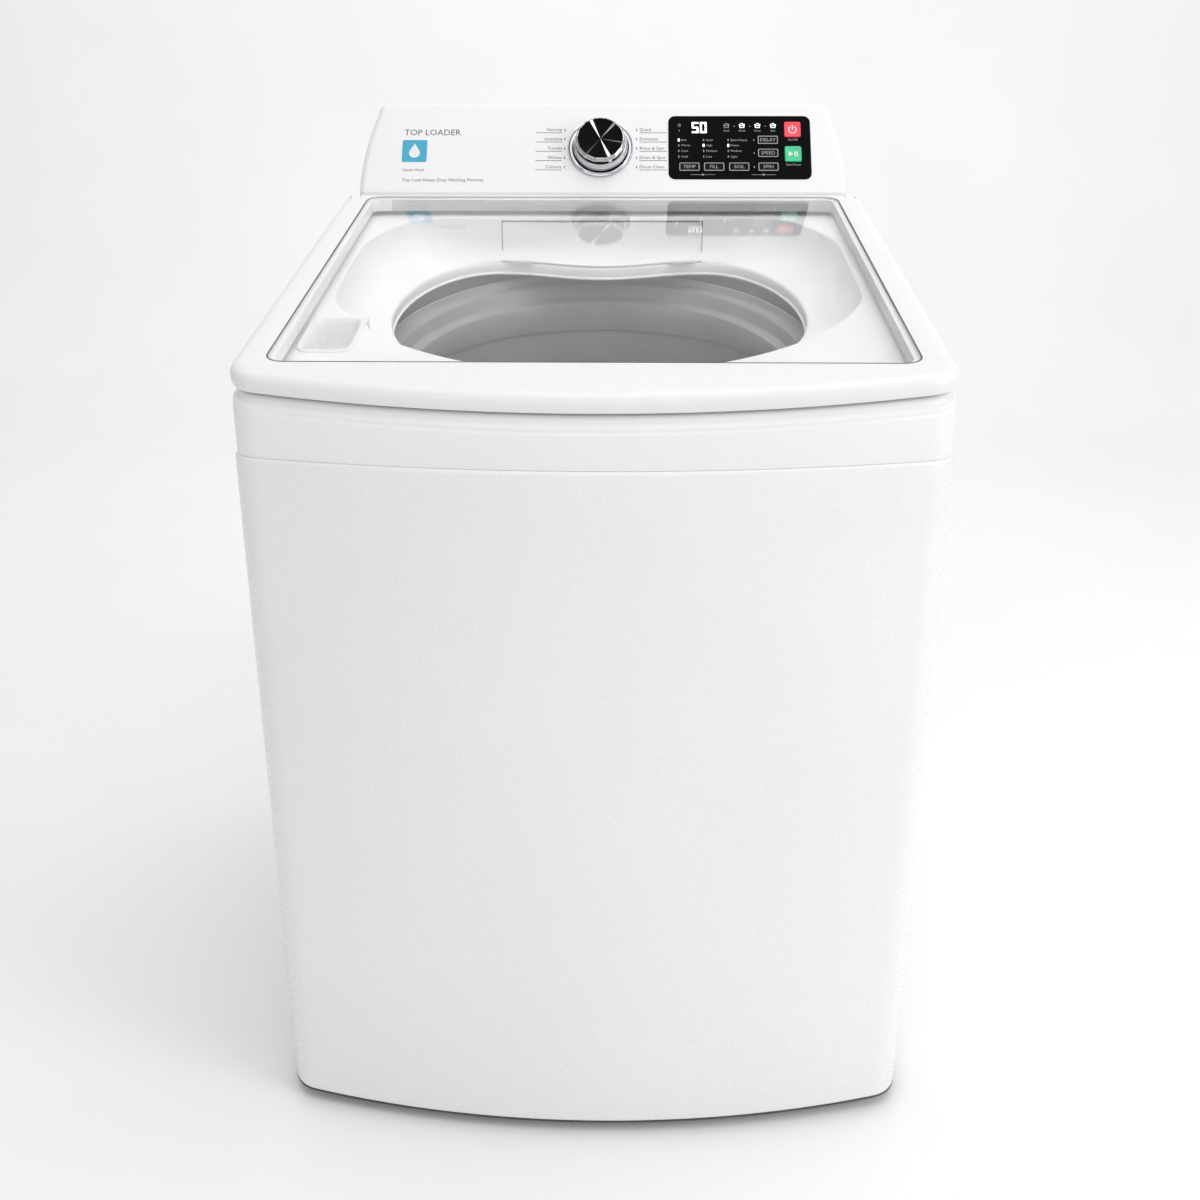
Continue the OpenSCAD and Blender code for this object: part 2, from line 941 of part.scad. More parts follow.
// Plate on the bowl's floor that carries the drawer's front down to the edge of the opening
module drawer_apron() {
    gap_drop = bowl_drop - loose_gap;
    difference() {
        union() {
            intersection() {
                box([-drawer_half_w, opening_waist_y - 1, seam_z], [drawer_half_w, bowl_back_y, 960]);
                slope_slab(gap_drop - apron_t, apron_t);
            }
            box([-drawer_half_w, bowl_back_y - 3, drawer_z - 0.6], [drawer_half_w, bowl_back_y + 1, drawer_z + 3]);
        }
        prism(opening_points(-loose_gap), seam_z, 960);
    }
}

module detergent_drawer() {
    tray_x = drawer_half_w - 4;
    inside_x = drawer_half_w - drawer_wall;
    inside_low = [bowl_back_y + wall_t, drawer_z + 3];
    inside_high = [bowl_back_y + drawer_l - 2, drawer_z + drawer_h];
    color("whitesmoke")
    difference() {
        union() {
            box([-drawer_half_w, bowl_back_y - 0.2, drawer_z],
                [drawer_half_w, bowl_back_y + wall_t, drawer_z + drawer_h - 1.4]);
            box([-tray_x, bowl_back_y + 1, drawer_z + 1],
                [tray_x, bowl_back_y + drawer_l, drawer_z + drawer_h - 4]);
            drawer_apron();
        }
        box([-inside_x, inside_low[0], inside_low[1]], [divider_x[0], inside_high[0], inside_high[1]]);
        box([divider_x[1], inside_low[0], inside_low[1]], [inside_x, inside_high[0], inside_high[1]]);
    }
}

// ---- Tub ----

module outer_tub() {
    color("lightgray")
    difference() {
        union() {
            at_tub() {
                tube(tub_r + tub_t, tub_r, tub_top - tub_floor, tub_floor);
                tube(tub_r + tub_t, 33, 6, tub_floor);
                tube(tub_r + 10, tub_r, 4, tub_top - 4);
                for (z = [380, 520, 640])
                    tube(tub_r + 9, tub_r + 2, 3, z);
                for (x = [-1, 1], y = [-1, 1])
                    rotate([0, 0, atan2(y * rod_dy, x * rod_x)])
                        difference() {
                            box([tub_r + 2, -22, lug_z], [360, 22, lug_z + lug_t]);
                            translate([norm([rod_x, rod_dy]), 0, 0])
                                bore(rod_r + 2.5, 60, lug_z - 10);
                        }
            }
            // Sump outlet
            translate([pump_x, pump_y, 0])
                tube(18, 15, tub_floor + 6 - 205, 205);
        }
        translate([pump_x, pump_y, 0])
            bore(15, 60, 200);
    }
}

module tub_ring() {
    color("gainsboro") {
        at_tub()
            tube(tub_r + 10, 250, 4, tub_top);
        ring_wall(253, 250, tub_top + 2, 28, 200);
        ring_wall(252, 236, tub_top + 4, 38, 3);
        ring_wall(239, 236, tub_top + 4, 39, 20);
        ring_wall(238, 222, tub_top + 4, 56, 3);
        // Inner lip, whose lower edge rises to the back
        difference() {
            ring_wall(225, 222, 732, 57, 90);
            translate([0, 0, 733])
                rotate([7.4, 0, 0])
                    translate([-big / 2, -big / 2, -big])
                        cube([big, big, big]);
        }
    }
}

// A tube about the drum's axis between two sloping planes, kept above z0
module ring_wall(r_out, r_in, z0, drop, t) {
    intersection() {
        at_tub()
            tube(r_out, r_in, 940 - z0, z0);
        slope_slab(bowl_drop + drop, t);
    }
}

module drive_housing() {
    color("silver")
    at_tub()
        difference() {
            union() {
                bore(95, 6, tub_floor - 6);
                bore(46, tub_floor - housing_z, housing_z);
                for (a = [0:60:300])
                    rotate([0, 0, a])
                        box([40, -3, 190], [88, 3, tub_floor - 6]);
            }
            bore(32 + run_gap, 120, housing_z - 5);
        }
}

module shaft_bearings() {
    color("lightgray")
    at_tub()
        for (z = [housing_z + 8, tub_floor - 24])
            tube(32, spin_shaft_r + run_gap, 14, z);
}

module motor() {
    color("dimgray") {
        translate([motor_x, motor_y, 0]) {
            difference() {
                union() {
                    bore(motor_r, 96, 118);
                    bore(motor_r + 6, 5, 214);
                }
                bore(6 + run_gap, 90, 110);
            }
            for (a = [45:90:315])
                rotate([0, 0, a])
                    translate([motor_r - 4, 0, 0])
                        bore(7, tub_floor - 217, 217);
        }
    }
}

module belt_2d(grow) {
    span = norm([motor_x, motor_y - tub_y]);
    r1 = main_pulley_r + grow;
    r2 = motor_pulley_r + grow;
    a = acos((r1 - r2) / span);
    translate([0, tub_y])
        rotate(atan2(motor_y - tub_y, motor_x)) {
            circle(r = r1);
            translate([span, 0])
                circle(r = r2);
            polygon([
                [r1 * cos(a), r1 * sin(a)], [r1 * cos(a), -r1 * sin(a)],
                [span + r2 * cos(a), -r2 * sin(a)], [span + r2 * cos(a), r2 * sin(a)]
            ]);
        }
}

module drive_belt() {
    color("black")
    upright(pulley_z + 3, pulley_z + pulley_h - 3)
        difference() {
            belt_2d(belt_gap + belt_t);
            belt_2d(belt_gap);
        }
}

module suspension_springs() {
    color("silver")
    for (r = rods)
        translate([r[0], r[1], spring_foot_z])
            coil(spring_r, spring_wire_r, lug_z - spring_foot_z, spring_turns);
}

// A coil of round wire as a swept tube, kept between z = 0 and z = h
module coil(r, wire, h, turns) {
    steps = 10;
    sides = 6;
    rings = turns * steps;
    points = [for (i = [0:rings], j = [0:sides - 1])
        let (a = 360 * i / steps, b = 360 * j / sides, z = wire + (h - 2 * wire) * i / rings)
            [(r + wire * cos(b)) * cos(a), (r + wire * cos(b)) * sin(a), z + wire * sin(b)]];
    walls = [for (i = [0:rings - 1], j = [0:sides - 1], upper = [0, 1])
        let (k = (j + 1) % sides, here = i * sides, next = here + sides)
            upper == 1 ? [here + j, next + k, next + j] : [here + j, here + k, next + k]];
    foot = [for (j = [sides - 1:-1:0]) j];
    head = [for (j = [0:sides - 1]) rings * sides + j];
    polyhedron(points, concat(walls, [foot, head]));
}

module drain_hose() {
    color("dimgray")
    translate([pump_x, pump_y, 0])
        rotate_extrude()
            polygon(concat(
                [[18.4, hose_foot_z], [21, hose_foot_z]],
                [for (i = [0:5], p = [[21, 6], [25, 8.5], [25, 10.5], [21, 13]])
                    [p[0], hose_foot_z + 4 + p[1] + i * 12]],
                [[21, 216], [18.4, 216]]));
}

module drain_pump() {
    color("dimgray")
    translate([pump_x, pump_y, 0])
        difference() {
            union() {
                bore(38, 66, pump_z);
                tube(18, 15, 112 - 86, 86);
                translate([0, 20, drain_z])
                    rotate([-90, 0, 0])
                        cylinder(r = drain_r + 0.8, h = spout_y - pump_y - 20);
                translate([30, 0, drain_z - 12])
                    rotate([0, 90, 0])
                        cylinder(r = 26, h = 52);
            }
            bore(15, 60, 60);
            translate([0, 20, drain_z])
                rotate([-90, 0, 0])
                    cylinder(r = drain_r - 3, h = spout_y - pump_y);
        }
}

module drain_outlet() {
    panel_y = rear_y - sheet_t;
    color("dimgray")
    translate([pump_x, spout_y, drain_z])
        rotate([-90, 0, 0])
            difference() {
                union() {
                    bore(drain_r, spigot_y - spout_y);
                    bore(drain_r + 0.8, panel_y - spout_y + 1);
                    // Collar outside the rear panel
                    bore(drain_r + 9, 3, panel_y - spout_y + 0.2);
                }
                bore(drain_r - 3, 60, -5);
            }
}

module mains_gland() {
    color("black")
    translate([gland_x, rear_y - 12, gland_z])
        rotate([-90, 0, 0])
            difference() {
                union() {
                    bore(9, 18);
                    bore(12, 6, 2.9);
                    bore(12, 4, 12);
                }
                bore(4.5, 40, -5);
            }
}

module cover_screws() {
    color("silver") {
        for (s = panel_screws)
            screw(s[0], rear_y, s[1], 6);
        for (s = console_screws)
            screw(s[0], rear_y, s[1], 12);
    }
}

module screw(x, y, z, length) {
    translate([x, y, z])
        rotate([-90, 0, 0]) {
            bore(4.5, 2.5);
            bore(screw_r, length + 0.5, -length);
        }
}

// ---- Drum and drive ----

module drum() {
    color("silver")
    at_tub()
        difference() {
            union() {
                tube(drum_r, drum_r - 1.5, drum_top - drum_floor - 26, drum_floor + 26);
                translate([0, 0, drum_top])
                    rotate_extrude()
                        translate([drum_r, 0])
                            circle(r = 2.8, $fn = 24);
            }
            for (z = [380:60:620], a = [15:30:345])
                rotate([0, 0, a])
                    translate([drum_r - 10, 0, z])
                        rotate([0, 90, 0])
                            cylinder(r = 2.5, h = 20, $fn = 16);
        }
}

module drum_base() {
    color("gray")
    at_tub()
        difference() {
            union() {
                bore(drum_r, 26, drum_floor);
                tube(drum_r - 2, drum_r - 8, 14, drum_floor + 25);
            }
            // Recess for the impeller
            bore(impeller_r + 3, 40, drum_floor + 10);
            translate([0, 0, drum_floor + 18])
                tube(drum_r - 12, impeller_r + 8, 40);
            bore(spin_shaft_r + run_gap, 40, drum_floor - 5);
        }
}

module balance_ring() {
    color("darkgray")
    at_tub()
        rotate_extrude()
            polygon(concat(
                [[drum_r - 3, 660], [drum_r - 3, 706]],
                arc([balance_r + 12, 694], 12, 90, 180, 6),
                [[balance_r, 672], [balance_r + 12, 660]]));
}

module spin_shaft() {
    color("silver")
    at_tub()
        tube(spin_shaft_r, drive_shaft_r + 2 * run_gap, drum_floor + 9 - 120, 120);
}

module lint_filters() {
    color("lightgray")
    at_tub()
        for (a = [60, 240])
            rotate([0, 0, a])
                intersection() {
                    tube(drum_r - 2, drum_r - 16, 190, 420);
                    translate([0, 0, 400])
                        linear_extrude(240)
                            polygon([[0, 0], [300, -48], [300, 48]]);
                }
}

module impeller() {
    base = drum_floor + 12;
    color("gray")
    at_tub()
        difference() {
            union() {
                bore(impeller_r, 6, base);
                translate([0, 0, base + 5])
                    cylinder(r1 = impeller_r - 6, r2 = 60, h = 15);
                translate([0, 0, base + 19])
                    cylinder(r1 = 46, r2 = 30, h = 26);
                for (i = [0:vanes - 1])
                    rotate([0, 0, 360 * i / vanes])
                        box([30, -7, base + 3], [impeller_r - 14, 7, base + 30]);
            }
            bore(drive_shaft_r + run_gap, 30, base - 5);
        }
}

module drive_shaft() {
    color("silver")
    at_tub()
        bore(drive_shaft_r, drum_floor + 32 - 74, 74);
}

module main_pulley() {
    color("silver")
    at_tub()
        difference() {
            union() {
                tube(main_pulley_r, main_pulley_r - 9, pulley_h, pulley_z);
                bore(22, pulley_h + 6, pulley_z - 3);
                bore(main_pulley_r - 4, 4, pulley_z + 6);
            }
            bore(drive_shaft_r + run_gap, 60, pulley_z - 20);
            for (a = [0:60:300])
                rotate([0, 0, a])
                    translate([60, 0, 0])
                        bore(19, 60, pulley_z - 20);
        }
}

module motor_pulley() {
    color("silver")
    translate([motor_x, motor_y, 0]) {
        bore(motor_pulley_r, pulley_h, pulley_z);
        bore(6, 112, pulley_z);
    }
}

cabinet_shell();
rear_panel();
base_frame();
corner_brackets();
suspension_rods();
top_cover();
bleach_cup();
console_front();
console_rear_cover();
control_glass();
knob_bezel();
knob_encoder();
control_board();
power_board();
inlet_valve(hot_x, "firebrick");  // hot_inlet_valve
inlet_valve(cold_x, "steelblue");  // cold_inlet_valve
dispenser_housing();
drain_pump();
drain_outlet();
mains_gland();
lid_lock();
lid_bumpers();
cover_screws();
levelling_foot(-foot_x, foot_front_y);  // foot_front_left
levelling_foot(foot_x, foot_front_y);  // foot_front_right
levelling_foot(-foot_x, foot_rear_y);  // foot_rear_left
levelling_foot(foot_x, foot_rear_y);  // foot_rear_right
lid_frame();
lid_glass();
hinge_pins();
lid_striker();
lock_bolt();
knob_skirt();
knob_cap();
color("dimgray") key(temp_at, key_size);  // temp_key
color("dimgray") key(fill_at, key_size);  // fill_key
color("dimgray") key(soil_at, key_size);  // soil_key
color("dimgray") key(spin_at, key_size);  // spin_key
color("dimgray") key(speed_at, key_size);  // speed_key
color("dimgray") key(delay_at, key_size);  // delay_key
color("crimson") key(power_at, button_size);  // power_button
color("mediumseagreen") key(start_at, button_size);  // start_button
detergent_drawer();
outer_tub();
tub_ring();
motor();
drive_housing();
shaft_bearings();
suspension_springs();
drive_belt();
drain_hose();
drum();
drum_base();
balance_ring();
spin_shaft();
lint_filters();
impeller();
drive_shaft();
main_pulley();
motor_pulley();
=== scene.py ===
"""Looks of the top load washing machine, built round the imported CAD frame.

Shape functions work in millimetres in the frame's axes (+X right, +Y back, +Z up) and
make_piece turns them into metres. The outlines are the same formulas as the CAD's.
"""

import math

import bmesh
import bpy
import numpy as np
from mathutils import Matrix, Vector


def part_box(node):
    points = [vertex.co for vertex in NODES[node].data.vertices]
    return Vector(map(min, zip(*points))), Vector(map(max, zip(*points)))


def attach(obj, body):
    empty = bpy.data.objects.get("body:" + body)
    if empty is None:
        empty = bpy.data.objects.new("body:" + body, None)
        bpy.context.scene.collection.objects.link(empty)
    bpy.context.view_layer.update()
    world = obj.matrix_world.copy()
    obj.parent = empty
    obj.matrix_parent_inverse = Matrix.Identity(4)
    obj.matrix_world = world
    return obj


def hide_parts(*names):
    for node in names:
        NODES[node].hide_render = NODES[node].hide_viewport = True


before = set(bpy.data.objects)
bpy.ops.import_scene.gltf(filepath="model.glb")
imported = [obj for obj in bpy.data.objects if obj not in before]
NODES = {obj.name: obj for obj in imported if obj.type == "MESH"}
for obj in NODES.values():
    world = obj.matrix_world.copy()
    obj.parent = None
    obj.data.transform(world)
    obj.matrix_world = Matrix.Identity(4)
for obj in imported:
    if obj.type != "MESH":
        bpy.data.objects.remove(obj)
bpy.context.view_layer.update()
MM = 0.001


def low(node):
    """Lowest corner of a CAD node in millimetres."""
    return np.array(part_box(node)[0]) / MM


def high(node):
    """Highest corner of a CAD node in millimetres."""
    return np.array(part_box(node)[1]) / MM


# ---- Sizes: the frame's own, then the CAD's driving values that no box can give ----

HALF_W = high("cabinet_shell")[0]
FRONT_Y = low("cabinet_shell")[1]
REAR_Y = high("cabinet_shell")[1]
SHELL_Z = low("cabinet_shell")[2]
SEAM_Z = high("cabinet_shell")[2]
CONSOLE_TOP = high("console_front")[2]
CONSOLE_Y = low("console_front")[1]
FRONT_BOW = 50.0
CORNER_R = 38.0
LID_SLOPE = math.tan(math.radians(12.0))
SLOPE_Y = FRONT_Y + FRONT_BOW
LID_FRONT_Z = 816.0
LID_T = 19.0
RIM_DROP = 25.0
BOWL_DROP = 76.0
WALL_T = 3.0
LID_INSET = 2.5
HINGE_Y = 256.0
GLASS_T = 4.0
TUB_Y = 17.0
FACE_TILT = math.radians(34.0)
CONSOLE_HALF_W = 321.0

BOW_R = (HALF_W**2 + FRONT_BOW**2) / (2 * FRONT_BOW)
BOW_Y = FRONT_Y + BOW_R
CORNER_X = HALF_W - CORNER_R
CORNER_Y = BOW_Y - math.sqrt((BOW_R - CORNER_R) ** 2 - CORNER_X**2)
BOW_ANGLE = math.degrees(math.asin(CORNER_X / (BOW_R - CORNER_R)))


def lid_z(y, drop=0.0):
    """Height of the lid's sloping top plane at y, lowered by drop."""
    return LID_FRONT_Z - drop + (y - SLOPE_Y) * LID_SLOPE


FACE_Z = lid_z(CONSOLE_Y, -1.0)
HINGE_Z = lid_z(HINGE_Y, LID_T / 2)
FACE_UP = Vector((0, math.sin(FACE_TILT), math.cos(FACE_TILT)))
FACE_OUT = Vector((0, -math.cos(FACE_TILT), math.sin(FACE_TILT)))


def on_face(u, v, w=0.0):
    """A point on the console's face: u across, v up the face, w out of it."""
    return Vector((float(u), CONSOLE_Y, FACE_Z)) + float(v) * FACE_UP + float(w) * FACE_OUT


# ---- Materials ----


def feed(tree, node, **sockets):
    """Sets a node's inputs, or links those given as sockets; underscores stand for spaces."""
    for name, value in sockets.items():
        socket = node.inputs[name.replace("_", " ")]
        if isinstance(value, bpy.types.NodeSocket):
            tree.links.new(value, socket)
        else:
            socket.default_value = value


def put(tree, kind, **sockets):
    """A new shader node with its inputs fed."""
    node = tree.nodes.new("ShaderNode" + kind)
    feed(tree, node, **sockets)
    return node


def object_coords(tree):
    """The piece's own coordinates."""
    return put(tree, "TexCoord").outputs["Object"]


def new_material(name, roughness, metallic=0.0, **sockets):
    """A material with a Principled shader; returns it, its node tree and its shader."""
    mat = bpy.data.materials.new(name)
    mat.use_nodes = True
    shader = mat.node_tree.nodes["Principled BSDF"]
    feed(mat.node_tree, shader, Roughness=roughness, Metallic=metallic, **sockets)
    return mat, mat.node_tree, shader


def noise(tree, scale, detail=3.0, stretch=(1, 1, 1), roughness=0.5):
    """Noise in object space, optionally stretched along an axis."""
    place = put(tree, "Mapping", Vector=object_coords(tree), Scale=stretch)
    texture = put(tree, "TexNoise", Vector=place.outputs["Vector"], Scale=scale, Detail=detail,
                  Roughness=roughness)
    return texture.outputs["Fac"]


def tint(tree, factor, dark, light, span=(0.35, 0.65)):
    """A colour that runs from dark to light as factor crosses the span."""
    ramp = put(tree, "ValToRGB", Fac=factor)
    for stop, position, colour in zip(ramp.color_ramp.elements, span, (dark, light)):
        stop.position = position
        stop.color = (*colour, 1)
    return ramp.outputs["Color"]


def spread(tree, factor, least, most):
    """factor's middle range mapped to least..most."""
    mapped = put(tree, "MapRange", Value=factor, From_Min=0.3, From_Max=0.7, To_Min=least, To_Max=most)
    return mapped.outputs["Result"]


def bump(tree, shader, height, strength, distance):
    """Bump on the shader from a height, over distance in metres."""
    raised = put(tree, "Bump", Height=height, Strength=strength, Distance=distance)
    feed(tree, shader, Normal=raised.outputs["Normal"])


def surface(name, colour, roughness, metallic, vary, patch, grain, depth, rough_vary=0.05,
            stretch=(1, 1, 1), **sockets):
    """Paint, plastic, rubber or metal: broad colour patches, uneven roughness and a fine grain."""
    mat, tree, shader = new_material(name, roughness, metallic, **sockets)
    dark = [c * (1 - vary) for c in colour]
    light = [min(1.0, c * (1 + vary)) for c in colour]
    feed(tree, shader, Base_Color=tint(tree, noise(tree, patch, 4.0), dark, light))
    fine = noise(tree, grain, 3.0, stretch, 0.6)
    least = max(0.02, roughness - rough_vary)
    feed(tree, shader, Roughness=spread(tree, fine, least, roughness + rough_vary))
    if depth > 0:
        bump(tree, shader, fine, 0.5, depth * 1e-6)
    return mat


def glass_material(name, colour, roughness):
    """Clear, lightly tinted glass that lets the lamps' light through."""
    mat, tree, shader = new_material(name, roughness, Transmission_Weight=1.0, IOR=1.2)
    pale = [min(1.0, c * 1.03) for c in colour]
    feed(tree, shader, Base_Color=tint(tree, noise(tree, 9.0, 2.0), colour, pale))
    clear = put(tree, "BsdfTransparent", Color=(0.90, 0.905, 0.905, 1))
    mix = put(tree, "MixShader", Fac=put(tree, "LightPath").outputs["Is Shadow Ray"])
    tree.links.new(shader.outputs["BSDF"], mix.inputs[1])
    tree.links.new(clear.outputs["BSDF"], mix.inputs[2])
    feed(tree, tree.nodes["Material Output"], Surface=mix.outputs["Shader"])
    return mat


def board_material():
    """Green circuit board with copper tracks in a fine cell pattern."""
    mat, tree, shader = new_material("circuit_board", 0.4)
    cells = put(tree, "TexVoronoi")
    cells.feature = "DISTANCE_TO_EDGE"
    cells.distance = "MANHATTAN"
    feed(tree, cells, Vector=object_coords(tree), Scale=140.0)
    copper, mask = (0.10, 0.34, 0.14), (0.01, 0.10, 0.04)
    feed(tree, shader, Base_Color=tint(tree, cells.outputs["Distance"], copper, mask, (0.02, 0.06)))
    return mat


def lamp_material(name, colour, strength):
    """A lit display segment or lamp with a slightly uneven glow."""
    mat, tree, shader = new_material(name, 0.4, Emission_Strength=strength)
    dim = [c * 0.85 for c in colour]
    lit = tint(tree, noise(tree, 300.0, 1.0), dim, colour)
    feed(tree, shader, Base_Color=lit, Emission_Color=lit)
    return mat


# Painted highlights on the knob's cap, the bow-tie glints of spun metal put into its colour: angle and half
# width in degrees, brightness
PAINTED_HIGHLIGHTS = ((-12.0, 1.6, 0.12), (50.0, 3.0, 0.22), (115.0, 3.4, 0.9), (232.0, 2.2, 0.05), (294.0, 3.4, 0.9))
SPUN_BLACK = 0.004


def spun_material():
    """Black spun metal with fine rings and a painted bow-tie highlight, by angle round its own axis."""
    mat, tree, shader = new_material("knob_spun_black", 0.22, 1.0)
    place = object_coords(tree)
    axes = put(tree, "SeparateXYZ", Vector=place)
    turn = put(tree, "Math")
    turn.operation = "ARCTAN2"
    tree.links.new(axes.outputs["Y"], turn.inputs[0])
    tree.links.new(axes.outputs["X"], turn.inputs[1])
    share = put(tree, "MapRange", Value=turn.outputs["Value"], From_Min=-math.pi, From_Max=math.pi)
    highlight_ramp = put(tree, "ValToRGB", Fac=share.outputs["Result"])
    ramp = highlight_ramp.color_ramp
    ramp.elements[0].color = ramp.elements[1].color = (SPUN_BLACK, SPUN_BLACK, 0.005, 1)
    for angle, half, level in PAINTED_HIGHLIGHTS:
        middle = ((angle + 180.0) % 360.0) / 360.0
        for offset, value in ((-1.5, SPUN_BLACK), (-0.8, level), (0.8, level), (1.5, SPUN_BLACK)):
            stop = ramp.elements.new(middle + offset * half / 360.0)
            stop.color = (value, value, value * 1.02, 1)
    feed(tree, shader, Base_Color=highlight_ramp.outputs["Color"])
    rings = put(tree, "TexWave", Vector=place, Scale=900.0, Distortion=0.4)
    rings.wave_type = "RINGS"
    rings.rings_direction = "Z"
    bump(tree, shader, rings.outputs["Fac"], 0.25, 0.00005)
    return mat


# Name, colour, roughness, metallic, colour variation, patches and grains per metre, and the
# grain's depth in micrometres
SURFACES = {
    "enamel": ("white_enamel", (0.80, 0.80, 0.81), 0.26, 0, 0.012, 4, 420, 20),
    "cover": ("white_cover_plastic", (0.82, 0.82, 0.83), 0.34, 0, 0.012, 5, 700, 30),
    # Grey painted shade for the lid frame's inner walls under the glass
    "shade": ("painted_shade_frame_grey", (0.50, 0.505, 0.51), 0.42, 0, 0.05, 12, 900, 30),
    "seal": ("glass_seal_rubber", (0.10, 0.102, 0.105), 0.6, 0, 0.08, 40, 1300, 30),
    "bowl": ("white_bowl_plastic", (0.80, 0.80, 0.81), 0.30, 0, 0.015, 6, 600, 20),
    # The console's white is a darker copy of the cover's white: painted shade that tones down the brightly
    # lit console and lid frame
    "console": ("white_console_plastic_painted_shade", (0.775, 0.775, 0.785), 0.30, 0, 0.01, 5, 900, 20),
    "panel": ("coated_rear_sheet", (0.60, 0.61, 0.62), 0.42, 0.25, 0.05, 9, 300, 30),
    "zinc": ("zinc_plated_steel", (0.62, 0.63, 0.64), 0.36, 1, 0.10, 60, 500, 0),
    "base": ("dark_base_plastic", (0.055, 0.057, 0.06), 0.6, 0, 0.10, 30, 1100, 80),
    "foot": ("black_foot_plastic", (0.02, 0.02, 0.021), 0.55, 0, 0.12, 60, 1300, 60),
    "rubber": ("black_rubber", (0.018, 0.018, 0.019), 0.72, 0, 0.15, 50, 1500, 80),
    "bumper": ("grey_rubber", (0.30, 0.30, 0.31), 0.75, 0, 0.08, 70, 1500, 60),
    "grey": ("grey_plastic", (0.13, 0.135, 0.14), 0.5, 0, 0.08, 40, 1200, 50),
    "tub": ("filled_tub_plastic", (0.50, 0.51, 0.52), 0.48, 0, 0.05, 14, 500, 60),
    "ring": ("tub_ring_plastic", (0.27, 0.274, 0.28), 0.36, 0, 0.05, 16, 700, 40),
    # The balance ring, the drum and the drum plastics are far darker than their real plastic and steel:
    # painted shade for the dim inside of the tub
    "balance": ("balance_ring_plastic_painted_shade", (0.035, 0.036, 0.038), 0.38, 0, 0.08, 20, 800, 40),
    "drum": ("stainless_drum_painted_shade", (0.08, 0.081, 0.083), 0.3, 1, 0.08, 22, 260, 0),
    "drum_plastic": ("drum_plastic", (0.05, 0.052, 0.055), 0.42, 0, 0.10, 25, 800, 50),
    "cast": ("cast_aluminium", (0.50, 0.51, 0.52), 0.5, 1, 0.12, 45, 700, 200),
    "motor": ("dark_motor_paint", (0.05, 0.052, 0.055), 0.45, 0, 0.12, 40, 900, 50),
    "lock": ("orange_lock_plastic", (0.70, 0.22, 0.03), 0.45, 0, 0.06, 80, 1200, 0),
    "hot": ("red_valve_plastic", (0.42, 0.025, 0.02), 0.42, 0, 0.08, 60, 1000, 40),
    "cold": ("blue_valve_plastic", (0.02, 0.07, 0.33), 0.42, 0, 0.08, 60, 1000, 40),
    "chrome": ("polished_chrome", (0.60, 0.60, 0.62), 0.07, 1, 0.04, 40, 700, 0),
    "black_glass": ("black_panel_glass", (0.002, 0.002, 0.0025), 0.10, 0, 0.2, 20, 500, 0),
    "key": ("black_key_plastic", (0.005, 0.005, 0.006), 0.3, 0, 0.15, 60, 1100, 0),
    "key_line": ("grey_key_print", (0.30, 0.30, 0.31), 0.4, 0, 0.05, 90, 1300, 0),
    "key_plate": ("white_lock_plate", (0.88, 0.88, 0.89), 0.28, 0, 0.02, 60, 1100, 0),
    "red": ("red_button", (0.80, 0.018, 0.045), 0.25, 0, 0.04, 90, 1100, 0),
    "green": ("green_button", (0.006, 0.50, 0.21), 0.25, 0, 0.04, 90, 1100, 0),
    "print": ("dark_grey_print", (0.03, 0.03, 0.033), 0.5, 0, 0.08, 120, 1300, 0),
    "tile": ("blue_tile", (0.03, 0.34, 0.52), 0.35, 0, 0.06, 70, 1200, 0),
    "white_print": ("white_print", (0.75, 0.75, 0.76), 0.4, 0, 0.04, 120, 1300, 0),
}
# What a few surfaces have beside the table's columns
MORE = {
    "enamel": {"Coat_Weight": 0.5, "Coat_Roughness": 0.08},
    "panel": {"stretch": (1, 1, 0.08)},
    "drum": {"rough_vary": 0.08, "stretch": (1, 1, 14)},
    "chrome": {"rough_vary": 0.03},
    "black_glass": {"rough_vary": 0.02, "Specular_IOR_Level": 0.03},
    "key": {"Specular_IOR_Level": 0.05},
    "red": {"Coat_Weight": 0.3},
    "green": {"Coat_Weight": 0.3},
}
MATS = {key: surface(*row, **MORE.get(key, {})) for key, row in SURFACES.items()}
MATS["board"] = board_material()
MATS["lit"] = lamp_material("lit_white", (0.95, 0.97, 1.0), 1.1)
# The unlit lamps and the printed names and icons on the black glass glow faintly: a painted glow
MATS["dim"] = lamp_material("dim_painted_glow", (0.26, 0.27, 0.28), 0.12)
MATS["spun"] = spun_material()
MATS["glass"] = glass_material("clear_lid_glass", (0.895, 0.90, 0.90), 0.02)


# ---- Making pieces ----


def add_object(name, data):
    """A new object in the scene."""
    obj = bpy.data.objects.new(name, data)
    bpy.context.scene.collection.objects.link(obj)
    return obj


def new_mesh(name, shape):
    """A mesh from a shape, which is (points in millimetres, faces)."""
    mesh = bpy.data.meshes.new(name)
    mesh.from_pydata([tuple(c * MM for c in p) for p in shape[0]], [], shape[1])
    return mesh


def make_piece(name, shape, material, body, slot=None, node=None, sharp=35.0, owner=None):
    """A shown piece from a shape; material is one name or (names, index per face)."""
    mesh = new_mesh(name, shape)
    names, indices = ([material], None) if isinstance(material, str) else material
    for key in names:
        mesh.materials.append(MATS[key])
    if indices is not None:
        mesh.polygons.foreach_set("material_index", indices)
    tidy_mesh(mesh, sharp)
    obj = add_object(name, mesh)
    if owner is not None:
        obj.matrix_world = owner
    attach(obj, body)
    if node:
        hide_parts(node)
    return obj


